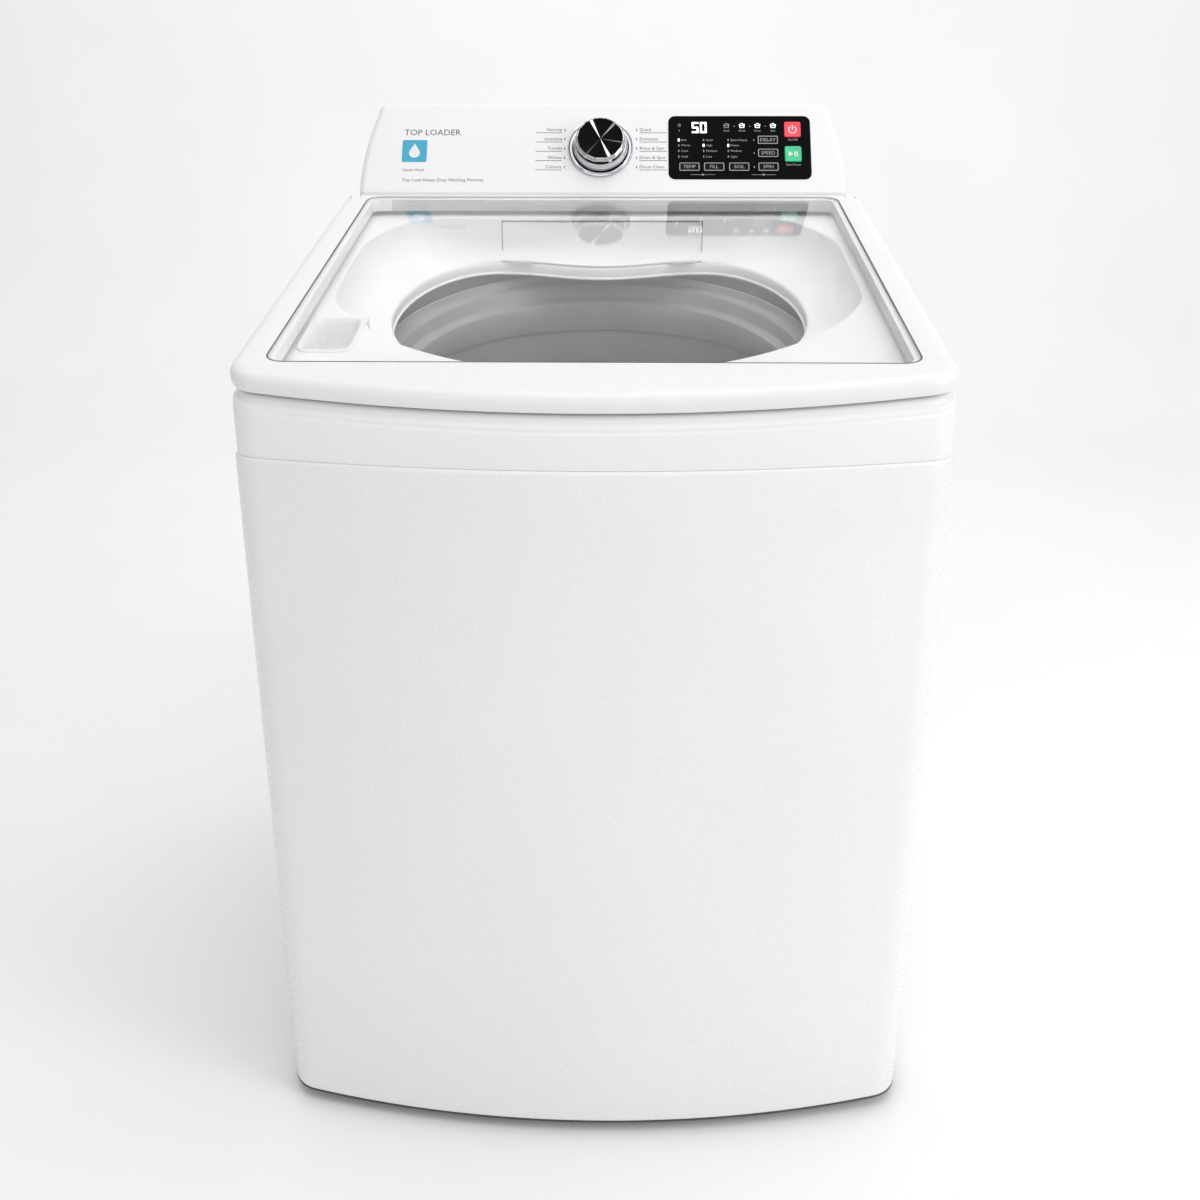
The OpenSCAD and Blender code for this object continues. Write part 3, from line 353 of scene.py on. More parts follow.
def tidy_mesh(mesh, sharp):
    """Welds doubles, turns the faces outwards and shades smooth up to the sharp angle."""
    bm = bmesh.new()
    bm.from_mesh(mesh)
    bmesh.ops.remove_doubles(bm, verts=bm.verts, dist=2e-6)
    bmesh.ops.dissolve_degenerate(bm, edges=bm.edges, dist=1e-6)
    bmesh.ops.recalc_face_normals(bm, faces=bm.faces)
    bm.to_mesh(mesh)
    bm.free()
    shade(mesh, sharp)


def paint(obj, names, choose=None):
    """Gives a cut piece its materials again; choose(points) returns an index per face centre."""
    obj.data.materials.clear()
    for key in names:
        obj.data.materials.append(MATS[key])
    if choose is not None:
        centres = np.array([f.center for f in obj.data.polygons]) / MM
        obj.data.polygons.foreach_set("material_index", choose(centres))


def shade(mesh, sharp):
    """Smooth shading up to the sharp angle; large many-sided caps stay flat."""
    mesh.shade_smooth()
    mesh.set_sharp_from_angle(angle=math.radians(sharp))
    for face in mesh.polygons:
        if len(face.vertices) > 8:
            face.use_smooth = False


def ring_faces(rows, columns, close_rows=False, keep=None, close_columns=True):
    """Quads between successive rings of a grid of points."""
    faces = []
    for i in range(rows if close_rows else rows - 1):
        for j in range(columns if close_columns else columns - 1):
            if keep is None or keep(i, j):
                m = (i + 1) % rows
                k = (j + 1) % columns
                faces.append((i * columns + j, i * columns + k, m * columns + k, m * columns + j))
    return faces


def cap(columns, row):
    """One flat face that closes the given row of a ring grid."""
    return tuple(range(row * columns, (row + 1) * columns))


def capped(points, rows):
    """The shape of a ring grid closed by a flat face at each end."""
    columns = len(points) // rows
    return points, ring_faces(rows, columns) + [cap(columns, 0), cap(columns, rows - 1)]


def looped(points, rows, keep=None):
    """The shape of a ring grid whose last ring joins its first."""
    return points, ring_faces(rows, len(points) // rows, True, keep)


def join(shapes):
    """Several shapes as one."""
    points, faces = [], []
    for more, lists in shapes:
        start = len(points)
        points += more
        faces += [tuple(start + v for v in f) for f in lists]
    return points, faces


def arc(cx, cy, r, a0, a1, n, skip=0):
    """Points on an arc from a0 to a1 degrees."""
    turn = [math.radians(a0 + (a1 - a0) * i / n) for i in range(skip, n + 1)]
    return [(cx + r * math.cos(a), cy + r * math.sin(a)) for a in turn]


def full_turn(count):
    """count angles spread evenly over one turn."""
    return [2 * math.pi * j / count for j in range(count)]


def lathe(profile, centre, turns=128):
    """Rings of a turned shape: profile is (r, z) from one end to the other."""
    return [(centre[0] + r * math.cos(a), centre[1] + r * math.sin(a), z)
            for r, z in profile for a in full_turn(turns)]


def turned(name, profile, centre, material, body, close=False, turns=128, **kw):
    """A lathed piece; it is closed by end caps, or into a tube where close is set."""
    shape = (looped if close else capped)(lathe(profile, centre, turns), len(profile))
    return make_piece(name, shape, material, body, **kw)


def rounded(points, radius, steps=4):
    """A 2D chain with its inner corners rounded by the given radius."""
    out = [points[0]]
    for before, at, after in zip(points, points[1:], points[2:]):
        a, b, c = (np.array(p, float) for p in (before, at, after))
        r = min(radius, 0.48 * np.linalg.norm(a - b), 0.48 * np.linalg.norm(c - b))
        start = b + (a - b) / max(np.linalg.norm(a - b), 1e-9) * r
        end = b + (c - b) / max(np.linalg.norm(c - b), 1e-9) * r
        for i in range(steps + 1):
            t = i / steps
            out.append(tuple((1 - t) ** 2 * start + 2 * t * (1 - t) * b + t**2 * end))
    out.append(points[-1])
    return out


def rounded_rect(cx, cy, w, h, r, n=6):
    """Outline of a rounded rectangle, anticlockwise."""
    x, y = w / 2 - r, h / 2 - r
    return (arc(cx + x, cy - y, r, -90, 0, n) + arc(cx + x, cy + y, r, 0, 90, n)
            + arc(cx - x, cy + y, r, 90, 180, n) + arc(cx - x, cy - y, r, 180, 270, n))


def cut(obj, cutters):
    """Subtracts closed shapes from a piece."""
    made = []
    for i, shape in enumerate(cutters):
        mesh = new_mesh("cutter", shape)
        tidy_mesh(mesh, 30.0)
        modifier = obj.modifiers.new(f"cut{i}", "BOOLEAN")
        modifier.operation = "DIFFERENCE"
        modifier.solver = "EXACT"
        modifier.object = add_object("cutter", mesh)
        made.append(modifier.object)
    graph = bpy.context.evaluated_depsgraph_get()
    result = bpy.data.meshes.new_from_object(obj.evaluated_get(graph))
    obj.modifiers.clear()
    obj.data = result
    for tool in made:
        bpy.data.objects.remove(tool)
    shade(obj.data, 35.0)


def prism(outline, z0, z1):
    """A closed upright prism from a 2D outline."""
    return capped([(x, y, z) for z in (z0, z1) for x, y in outline], 2)


def block(x, y, z):
    """A box between pairs of limits."""
    return prism([(x[0], y[0]), (x[1], y[0]), (x[1], y[1]), (x[0], y[1])], z[0], z[1])


def dress(node, material, bevel=0.0):
    """Gives a carried-over CAD node its material, softened edges and smooth shading."""
    obj = NODES[node]
    obj.data.materials.clear()
    obj.data.materials.append(MATS[material])
    obj.data.shade_smooth()
    weld = obj.modifiers.new("weld", "WELD")
    weld.merge_threshold = 0.00001
    if bevel > 0:
        soften = obj.modifiers.new("soften", "BEVEL")
        soften.width = bevel * MM
        soften.segments = 2
        soften.limit_method = "ANGLE"
        soften.angle_limit = math.radians(38)
        soften.use_clamp_overlap = True
    normals = obj.modifiers.new("normals", "WEIGHTED_NORMAL")
    normals.keep_sharp = True


# ---- Outlines shared with the CAD ----


def body_outline(inset, back=REAR_Y, front_steps=72, corner_steps=14, back_x=()):
    """The cabinet's outline moved inwards by inset; back_x adds points along its straight back."""
    front = arc(0, BOW_Y, BOW_R - inset, -90 - BOW_ANGLE, -90 + BOW_ANGLE, front_steps)
    right = arc(CORNER_X, CORNER_Y, CORNER_R - inset, -90 + BOW_ANGLE, 0, corner_steps, 1)
    left = arc(-CORNER_X, CORNER_Y, CORNER_R - inset, 180, 270 - BOW_ANGLE, corner_steps)
    y = back - inset
    rear = [(HALF_W - inset, y)] + [(x, y) for x in back_x] + [(inset - HALF_W, y)]
    return front + right + rear + left[:-1]


BOWL = {"cy": 44.0, "r": 305.0, "half_w": 290.0, "back": 240.0, "lobe_x": 239.0, "lobe_y": -116.0}
OPENING = {"half_w": 241.0, "front_r": 234.0, "back": 222.0, "waist": 200.0, "lobe": 130.0}
CUP = {"x": -268.0, "y": -170.0, "w": 50.0, "l": 84.0, "h": 30.0}
DRAWER = {"half_w": 130.0, "z": lid_z(240.0, BOWL_DROP) + 2.0, "h": 44.0}
CENTRE = (0.0, BOWL["cy"])


def opening_outline(inset):
    """The loading opening: a round front, two rear lobes and a waist between them."""
    o, cy = OPENING, BOWL["cy"]
    right = []
    for i in range(49):
        a = math.radians(-90 + 90 * i / 48)
        right.append(((o["half_w"] - inset) * math.cos(a), cy + (o["front_r"] - inset) * math.sin(a)))
    for i in range(1, 31):
        a = math.radians(90 * i / 30)
        x = o["lobe"] + (o["half_w"] - o["lobe"] - inset) * math.cos(a)
        right.append((x, cy + (o["back"] - cy - inset) * math.sin(a)))
    for i in range(1, 21):
        rise = (o["back"] - o["waist"]) * (1 + math.cos(math.pi * i / 20)) / 2
        right.append((o["lobe"] * (1 - i / 20), o["waist"] - inset + rise))
    return right + [(-x, y) for x, y in right[-2:0:-1]]


def ray_radii(outline, centre, angles):
    """Distance from the centre to a closed star-shaped outline along each angle."""
    p = np.array(outline) - np.array(centre)
    q = np.roll(p, -1, axis=0)
    d = np.stack([np.cos(angles), np.sin(angles)], axis=1)
    e = q - p
    cross = d[:, None, 0] * e[None, :, 1] - d[:, None, 1] * e[None, :, 0]
    safe = np.where(np.abs(cross) < 1e-12, 1e-12, cross)
    t = (p[None, :, 0] * e[None, :, 1] - p[None, :, 1] * e[None, :, 0]) / safe
    s = (p[None, :, 0] * d[:, None, 1] - p[None, :, 1] * d[:, None, 0]) / safe
    good = (t > 0) & (s >= -1e-6) & (s <= 1 + 1e-6)
    return np.where(good, t, 1e9).min(axis=1)


def fan(centre, outlines, extra=(), step=0.75):
    """Angles for a polar loft: one per outline corner, with the gaps filled evenly."""
    found = list(np.radians(np.arange(0, 360, step)))
    for outline in outlines:
        found += [math.atan2(y - centre[1], x - centre[0]) % (2 * math.pi) for x, y in outline]
    found += [math.atan2(y - centre[1], x - centre[0]) % (2 * math.pi) for x, y in extra]
    found = sorted(found)
    kept = [found[0]]
    for a in found[1:]:
        if a - kept[-1] > 0.0006:
            kept.append(a)
    return np.array(kept)


class PolarLoft:
    """Rings round one centre, each from an outline (or radii) and a height or a drop below the lid."""

    def __init__(self, centre, angles):
        self.centre = centre
        self.angles = angles
        self.points = []
        self.rows = 0

    def radii(self, outline):
        if isinstance(outline, list):
            return ray_radii(outline, self.centre, self.angles)
        return np.asarray(outline) * np.ones(len(self.angles))

    def add(self, outline, z=None, drop=None, floor=None):
        r = self.radii(outline)
        x = self.centre[0] + r * np.cos(self.angles)
        y = self.centre[1] + r * np.sin(self.angles)
        height = np.full(len(r), z, float) if z is not None else lid_z(y, drop)
        if floor is not None:
            height = np.maximum(height, floor)
        self.points += [tuple(p) for p in np.stack([x, y, height], axis=1)]
        self.rows += 1

    def tube(self, keep=None):
        """The loft with its last ring joined to its first."""
        return looped(self.points, self.rows, keep)

    def solid(self):
        """The loft closed by a flat face at each end."""
        return capped(self.points, self.rows)


def bowl_radii(angles, grow):
    """Distance from the bowl's centre to its wall, moved outwards by grow."""
    c, s = np.cos(angles), np.sin(angles)
    c = np.where(np.abs(c) < 1e-9, 1e-9, c)
    s = np.where(np.abs(s) < 1e-9, 1e-9, s)
    side = (BOWL["half_w"] + grow) / np.abs(c)
    rear = np.where(s > 0, (BOWL["back"] + grow - BOWL["cy"]) / np.abs(s), 1e9)
    lobe = np.maximum((BOWL["lobe_x"] + grow) / np.abs(c), (BOWL["cy"] - BOWL["lobe_y"] + grow) / np.abs(s))
    lobe = np.where((c < 0) & (s < 0), lobe, 1e9)
    return np.minimum.reduce([np.full(len(c), BOWL["r"] + grow), side, rear, lobe])


def soften(radii, angles, width):
    """A radius function with its corners rounded: a mean over a window of angles, in radians."""
    turn = 2 * math.pi
    a = np.concatenate([angles - turn, angles, angles + turn])
    r = np.concatenate([radii] * 3)
    grid = np.linspace(-width / 2, width / 2, 9)
    return np.mean([np.interp(angles + g, a, r) for g in grid], axis=0)


# ---- Cabinet ----


def cabinet_wrap():
    """The folded sheet: two sides, bowed front, rolled foot, top flange and narrow rear returns."""
    open_x = HALF_W - 26.0
    # Inset from the outline and height, up the outside and back down the inside
    skin = [
        (13.0, SHELL_Z), (3.0, SHELL_Z), (1.0, SHELL_Z + 0.3), (0.25, SHELL_Z + 1.2), (0, SHELL_Z + 3),
        (0, 200), (0, 420), (0, 620), (0, SEAM_Z - 3.4), (0.3, SEAM_Z - 2.0), (1.1, SEAM_Z - 0.9),
        (2.2, SEAM_Z - 0.2), (3.4, SEAM_Z),
        (16, SEAM_Z), (16, SEAM_Z - 1.5), (3.0, SEAM_Z - 1.6), (1.5, SEAM_Z - 3), (1.5, 300),
        (1.5, SHELL_Z + 3),
        (3.0, SHELL_Z + 1.5), (13.0, SHELL_Z + 1.5),
    ]
    outlines = [body_outline(inset, back_x=(open_x, 0.0, -open_x)) for inset, z in skin]
    points = [(x, y, z) for outline, (inset, z) in zip(outlines, skin) for x, y in outline]
    first = next(j for j, (x, y) in enumerate(outlines[0]) if y > REAR_Y - 14 and abs(x - open_x) < 0.1)

    def closed_part(i, j):
        return j not in (first, first + 1)

    shape = looped(points, len(skin), closed_part)
    make_piece("cabinet_wrap", shape, "enamel", "cabinet", "cabinet_enamel", "cabinet_shell")


# ---- Top cover ----


def top_cover():
    """Skirt, ledge under the lid, bowl with its floor, and the lip round the loading opening."""
    slot_x = DRAWER["half_w"] + 1.0
    slot_drops = (lid_z(BOWL["back"]) - (DRAWER["z"] + DRAWER["h"] + 1.0), BOWL_DROP - 1.0)
    marks = [(side * (slot_x + out), BOWL["back"]) for side in (-1, 1) for out in (0.0, 0.8)]
    angles = fan(CENTRE, [body_outline(0)], marks)
    loft = PolarLoft(CENTRE, angles)
    edge_y = BOWL["cy"] + bowl_radii(angles, 0) * np.sin(angles)
    edge_x = bowl_radii(angles, 0) * np.cos(angles)
    at_rear = edge_y > BOWL["back"] - 0.01
    at_slot = at_rear & (np.abs(edge_x) < slot_x + 0.4)
    spare = bowl_radii(angles, 0) - ray_radii(opening_outline(0), CENTRE, angles)
    cove = np.clip(soften(spare, angles, 0.3) - 6.0, 14.0, 44.0)
    cove = np.minimum(cove, np.maximum(spare - 2.0, 12.0))
    fillet = np.where(at_slot, 1.0, cove)

    def bowl(grow):
        sharp_wall = bowl_radii(angles, 0)
        wall = np.minimum(soften(sharp_wall, angles, 0.16), sharp_wall)
        wall = np.where(at_slot, sharp_wall, wall)
        return wall + grow

    for inset, z in ((5.0, SEAM_Z), (2.9, SEAM_Z), (2.4, SEAM_Z + 0.4), (2.2, SEAM_Z + 1.4)):
        loft.add(body_outline(inset), z=z)
    # Inset from the outline and drop below the ledge, from the seam up to the ledge
    shoulder = ((2.2, 13.0), (2.3, 11.4), (2.8, 10.1), (3.7, 8.9), (7.4, 1.6), (8.4, -0.4), (10.0, -1.9),
                (12.6, -2.5), (17.0, -2.5), (19.0, -2.1), (21.5, -0.4), (23.5, 0.0))
    for inset, below in shoulder:
        loft.add(body_outline(inset), drop=RIM_DROP + below)
    for grow, below in ((3.4, 0.0), (1.6, 0.3), (0.5, 1.3), (0.0, 3.2)):
        loft.add(bowl(grow), drop=RIM_DROP + below)
    slot_row = loft.rows
    loft.add(bowl(0), drop=slot_drops[0])
    for turn in range(0, 91, 15):
        share_in, share_up = 1 - math.cos(math.radians(turn)), 1 - math.sin(math.radians(turn))
        loft.add(bowl(0) - fillet * share_in, drop=BOWL_DROP - fillet * share_up)
    lip = ((-4.5, 0.0), (-2.2, 0.35), (-0.8, 1.5), (0.0, 3.8), (0.0, 12.0), (-0.2, 12.6), (1.0, 13.1),
           (1.7, 14.2), (1.4, 15.5), (0.2, 16.2), (-1.4, 15.9), (-3.0, 14.8))
    for inset, below in lip:
        loft.add(opening_outline(inset), drop=BOWL_DROP + below)
    loft.add(opening_outline(-3.0), drop=BOWL_DROP + WALL_T + 1.0)
    loft.add(opening_outline(-4.5), drop=BOWL_DROP + WALL_T)
    loft.add(bowl(1.0), drop=BOWL_DROP + WALL_T)
    loft.add(bowl(WALL_T), drop=BOWL_DROP + 1.0)
    back_row = loft.rows
    loft.add(bowl(WALL_T), drop=slot_drops[1])
    loft.add(bowl(WALL_T), drop=slot_drops[0])
    loft.add(bowl(WALL_T), drop=RIM_DROP + WALL_T + 0.4)
    loft.add(body_outline(WALL_T + 3), drop=RIM_DROP + WALL_T)
    loft.add(body_outline(WALL_T), drop=RIM_DROP + WALL_T + 3)

    columns = len(angles)
    middle = np.roll(angles, -1) + angles
    middle[-1] += 2 * math.pi
    middle_x = bowl_radii(middle / 2, 0) * np.cos(middle / 2)
    open_column = at_slot & np.roll(at_slot, -1) & (np.abs(middle_x) < slot_x)

    def walled(i, j):
        return not (open_column[j] and i in (slot_row, back_row))

    points, faces = loft.tube(walled)
    jambs = np.flatnonzero(open_column)
    for j in jambs:
        k = (j + 1) % columns
        for front, back in ((slot_row, back_row + 1), (slot_row + 1, back_row)):
            faces.append((front * columns + j, front * columns + k, back * columns + k, back * columns + j))
    for j in (jambs[0], (jambs[-1] + 1) % columns):
        rows = (slot_row, slot_row + 1, back_row, back_row + 1)
        faces.append(tuple(row * columns + j for row in rows))
    obj = make_piece("top_cover_moulding", (points, faces), "cover", "cabinet", "white_plastic", "top_cover")
    pocket = rounded_rect(CUP["x"], CUP["y"], CUP["w"] + 0.8, CUP["l"] + 0.8, 12.4, 8)
    lock = lock_middle()
    # The cutters run from under the deck's lowest place to above its highest
    above_deck = 960
    valve_room = block((-140, 140), (290, 330), (860, above_deck))
    bolt_slot = block((lock[0] - 4, lock[0] + 4), (lock[1] - 19, lock[1] + 16), (760, 840))
    cut(obj, [prism(pocket, 745, above_deck), bolt_slot, valve_room])
    paint(obj, ["cover"])
    hinge_lugs()
    drawer_cove()
    drawer_tabs()
    splash_skirt()
    lock_plate()


def lock_middle():
    """The middle of the lid's striker."""
    return (low("lid_striker") + high("lid_striker")) / 2


def splash_skirt():
    """The upright skirt below the deck that overlaps the tub's ring, lower under the drawer's housing."""
    under_housing = low("dispenser_housing")[2] - 1.2
    turns = np.linspace(0, 2 * math.pi, 241)[:-1]
    # Radius, and share of the way down from the skirt's top to its foot
    rows = ((268.0, 0.0), (268.0, 1.0), (269.0, 1.04), (270.2, 1.04), (271.0, 1.0), (271.0, 0.0))
    points = []
    for r, share in rows:
        for a in turns:
            y = TUB_Y + r * math.sin(a)
            top = lid_z(y, BOWL_DROP + 1.5)
            if y > BOWL["back"] - 4.0:
                top = min(top, under_housing)
            foot = max(lid_z(y, BOWL_DROP + 44.0), 745.0)
            points.append((r * math.cos(a), y, top + (foot - top) * share))
    make_piece("splash_skirt", looped(points, len(rows)), "ring", "cabinet", "white_plastic")


def drawer_cove():
    """The curved foot of the drawer's front, where it runs out to the edge of the opening."""
    half, r = DRAWER["half_w"] - 0.6, 14.0
    front, gap = BOWL["back"] - 0.2, 2.0
    turns = np.linspace(0, math.pi / 2, 11)
    arc_part = [(front - r * (1 - math.cos(t)), r * (1 - math.sin(t))) for t in turns]
    chain = [(front + 0.6, r + 1.0)] + arc_part + [(front - r, -0.3), (front + 0.6, -0.3)]
    places = np.linspace(-half, half, 27)
    points = [(x, y, lid_z(y, BOWL_DROP - gap) + rise) for x in places for y, rise in chain]
    make_piece("drawer_front_cove", capped(points, len(places)), "bowl", "drawer", "white_plastic")


def lock_plate():
    """The bright plate round the striker's slot on the right rim."""
    lock = lock_middle()
    cx, cy = lock[0] - 1.0, lock[1] - 1.5
    plate, slot = (cx, 19, 48, 3), (lock[0], 8, 35, 1.5)
    rows = ((plate, 0.0, 25.2), (plate, 0.0, 24.2), (plate, -0.5, 23.8),
            (slot, 0.4, 23.8), (slot, 0.0, 24.6), (slot, 0.0, 25.2))
    points = []
    for (middle, w, h, r), grow, drop in rows:
        edge = rounded_rect(middle, cy, w + 2 * grow, h + 2 * grow, r, 5)
        points += [(x, y, lid_z(y, drop)) for x, y in edge]
    shape = points, ring_faces(len(rows), len(points) // len(rows))
    make_piece("lock_plate", shape, "key_plate", "cabinet", "white_plastic")


def hinge_lugs():
    """The two upright ears that carry the lid's pins."""
    r, ear_x = 8, 322
    profile = [(HINGE_Y - r, HINGE_Z - 9), (HINGE_Y - r, HINGE_Z)] + arc(HINGE_Y, HINGE_Z, r, 180, 0, 16)
    profile += [(HINGE_Y + r, HINGE_Z), (HINGE_Y + r, HINGE_Z - 9)]
    shapes = []
    for side in (-1, 1):
        points = []
        for inset, x in ((1, -6), (0, -5), (0, 5), (1, 6)):
            for y, z in profile:
                lowered = 0 if z < HINGE_Z else inset
                points.append((side * ear_x + x, HINGE_Y + (y - HINGE_Y) * (1 - inset / r), z - lowered))
        shapes.append(capped(points, 4))
    make_piece("hinge_lugs", join(shapes), "cover", "cabinet", "white_plastic")


def drawer_tabs():
    """Two small finger ledges on the drawer's front edge, at the waist of the opening."""
    shapes = []
    for cx in (-105, 105):
        points = []
        for grow, rise in ((0, 1.6), (0, 3.6), (-0.7, 4.4)):
            for x, y in rounded_rect(cx, 219.0, 32, 5, 2.0, 4):
                y_edge = y - (1 - abs(x) / 130.0) * 16.0
                points.append((cx + (x - cx) * (1 + grow / 16), y_edge, lid_z(y_edge, BOWL_DROP) + rise))
        shapes.append(capped(points, 3))
    make_piece("drawer_finger_ledges", join(shapes), "bowl", "drawer", "white_plastic")


def bleach_cup():
    """The loose cup in the left front pocket, with a rolled flange and a light flat bottom."""
    c = CUP
    angles = fan((c["x"], c["y"]), [rounded_rect(c["x"], c["y"], c["w"], c["l"], 12, 10)], step=3)
    loft = PolarLoft((c["x"], c["y"]), angles)
    rows = (
        (-9, c["h"] - 2.0), (-5.5, c["h"] - 2.0), (-3.4, c["h"] - 3.0), (-2.2, c["h"] - 6), (-2, 3),
        (-1.4, 0.6), (0.2, -1.6), (2.6, -2.0), (3.9, -1.2), (4.0, -0.1), (0.3, 0.1), (0, 3), (0, c["h"] - 6),
        (-1.6, c["h"] - 1.0), (-6, c["h"]),
    )
    for grow, below in rows:
        radius = max(2.0, 12 + grow)
        outline = rounded_rect(c["x"], c["y"], c["w"] + 2 * grow, c["l"] + 2 * grow, radius, 10)
        loft.add(outline, drop=RIM_DROP + below)
    make_piece("bleach_cup_moulding", loft.solid(), "bowl", "cabinet", "white_plastic", "bleach_cup")


# ---- Lid ----


def lid_outline(inset, reach):
    """The lid's edge: the cabinet's outline, with its straight back at the hinge plus reach."""
    return body_outline(LID_INSET + inset, HINGE_Y + LID_INSET + inset + reach)


def glass_outline(grow):
    """The glass: a rounded rectangle inside the frame."""
    lo, hi = low("lid_glass"), high("lid_glass")
    w, h = hi[0] - lo[0], hi[1] - lo[1]
    cx, cy = (hi[0] + lo[0]) / 2, (hi[1] + lo[1]) / 2
    return rounded_rect(cx, cy, w + 2 * grow, h + 2 * grow, 18 + grow, 10)


def lid():
    """The frame with its rounded nose and barrel, then the glass set into it."""
    centre = (0.0, (low("lid_glass")[1] + high("lid_glass")[1]) / 2)
    angles = fan(centre, [lid_outline(0, 0), glass_outline(0)])
    loft = PolarLoft(centre, angles)
    barrel = LID_T / 2
    # Inset from the lid's edge and drop below its top, round the nose to the underside
    nose = (
        (7.0, LID_T), (4.0, LID_T - 0.3), (2.0, LID_T - 1.4), (0.8, LID_T - 3.6), (0.2, LID_T - 6.5),
        (0.0, 9.5), (0.2, 7.0), (0.9, 4.9), (2.1, 3.1), (4.0, 1.6), (6.6, 0.6), (9.6, 0.12), (12.5, 0.0),
    )
    for inset, drop in nose:
        reach = math.sqrt(max(0.0, barrel**2 - (drop - barrel) ** 2)) * 0.98
        loft.add(lid_outline(inset, reach), drop=drop)
    for grow, drop in ((1.5, 0.0), (0.8, 0.15), (0.45, 0.7), (0.4, GLASS_T + 0.1), (-6.0, GLASS_T + 0.1),
                       (-6.8, GLASS_T + 0.5), (-7.0, GLASS_T + 1.6), (-7.0, LID_T - 2.0), (-6.3, LID_T - 0.4),
                       (-4.8, LID_T)):
        loft.add(glass_outline(grow), drop=drop)
    # A shallow channel moulded into the underside
    for grow, drop in ((0.0, LID_T), (0.8, LID_T - 2.2), (4.2, LID_T - 2.2), (5.0, LID_T)):
        loft.add(glass_outline(grow), drop=drop)
    # The frame takes the console's darker white: painted shade for its lit front
    obj = make_piece("lid_frame_moulding", loft.tube(), "console", "lid", "white_plastic", "lid_frame")
    ears = ((-329, -315), (315, 329))
    notches = [block(x, (HINGE_Y - 12, HINGE_Y + 20), (880, 960)) for x in ears]
    grip = rounded_rect(0, FRONT_Y + 29, 160, 22, 7, 6)
    finger_room = [(x, y, lid_z(y, drop)) for drop in (LID_T + 5, LID_T - 10) for x, y in grip]
    cut(obj, notches + [capped(finger_room, 2)])
    painted_shade_from = low("lid_glass")[0] + 30.0

    def painted_shade_walls(centres):
        """The frame's rear and right inner walls, seen through the glass, are grey: painted shade."""
        turns = np.arctan2(centres[:, 1] - centre[1], centres[:, 0] - centre[0])
        reach = np.hypot(centres[:, 0] - centre[0], centres[:, 1] - centre[1])
        drop = lid_z(centres[:, 1]) - centres[:, 2]
        inside = reach < ray_radii(glass_outline(-6.0), centre, turns)
        return (inside & (centres[:, 0] > painted_shade_from) & (drop > GLASS_T + 0.5)).astype(int)

    paint(obj, ["console", "shade"], painted_shade_walls)
    lid_glass(centre)
    glass_seal(centre)


def glass_loft(centre, rows):
    """Rings round the pane from (growth, drop below the lid's top)."""
    loft = PolarLoft(centre, fan(centre, [glass_outline(0)], step=3))
    for grow, drop in rows:
        loft.add(glass_outline(grow), drop=drop)
    return loft


def lid_glass(centre):
    """The pane with ground edges."""
    rows = ((-1.0, GLASS_T - 0.1), (0.0, GLASS_T - 0.9), (0.0, 0.9), (-0.35, 0.35), (-1.2, 0.12))
    pane = glass_loft(centre, rows).solid()
    make_piece("lid_pane", pane, "glass", "lid", "lid_glass", "lid_glass", sharp=20.0)


def glass_seal(centre):
    """The thin grey seal round the pane."""
    rows = ((-0.9, 0.12), (-0.9, -0.02), (0.4, -0.02), (0.7, 0.2), (0.4, 0.9), (0.05, 0.9))
    make_piece("lid_glass_seal", glass_loft(centre, rows).tube(), "seal", "lid", "white_plastic")


# ---- Console ----

CONSOLE_T = 3.0
CONSOLE_FOOT_Z = 900.0
CROWN_R = 5.0
KNOB = {"u": -3.0, "v": 65.0, "bezel": 43.3, "h": 24.0}
GLASS_PROUD = 0.6
PRINT = 0.05
CONSOLE_BACK = low("console_rear_cover")[1]


def console_half(z):
    """Half the console's width at height z, with its rounded top corners."""
    r, turn_z = 12.0, CONSOLE_TOP - 12.0

    def curve(height):
        return CONSOLE_HALF_W - 24.0 * (max(0.0, height - FACE_Z) / (CONSOLE_TOP - FACE_Z)) ** 2

    if z <= turn_z:
        return curve(z)
    return curve(turn_z) - r + math.sqrt(max(0.0, r * r - (z - turn_z) ** 2))


def console_front_y(z):
    """Depth of the console's front at height z: upright foot, tilted face, rounded crown."""
    top_y, top_z = REAR_Y - CROWN_R, CONSOLE_TOP - CROWN_R
    leave_z = top_z + CROWN_R * math.sin(FACE_TILT)
    if z <= FACE_Z:
        return CONSOLE_Y
    if z <= leave_z:
        return CONSOLE_Y + (z - FACE_Z) * math.tan(FACE_TILT)
    return top_y - math.sqrt(max(0.0, CROWN_R**2 - (z - top_z) ** 2))


def console_chain(z, inset, corner, steps=10):
    """Half-open plan outline at height z, from the left back round the front to the right back."""
    scale = (CONSOLE_TOP - inset - CONSOLE_FOOT_Z) / (CONSOLE_TOP - CONSOLE_FOOT_Z)
    level = CONSOLE_FOOT_Z + (z - CONSOLE_FOOT_Z) / scale if inset else z
    w = console_half(level) - inset
    front = min(console_front_y(level) + inset / math.cos(FACE_TILT), CONSOLE_BACK)
    r = max(0.2, min(corner, (CONSOLE_BACK - front) * 0.8))
    left = [(-w, CONSOLE_BACK)] + arc(-w + r, front + r, r, 180, 270, steps)
    straight = [(x * (w - r), front) for x in np.linspace(-0.9, 0.9, 19)]
    return left + straight + arc(w - r, front + r, r, -90, 0, steps) + [(w, CONSOLE_BACK)]


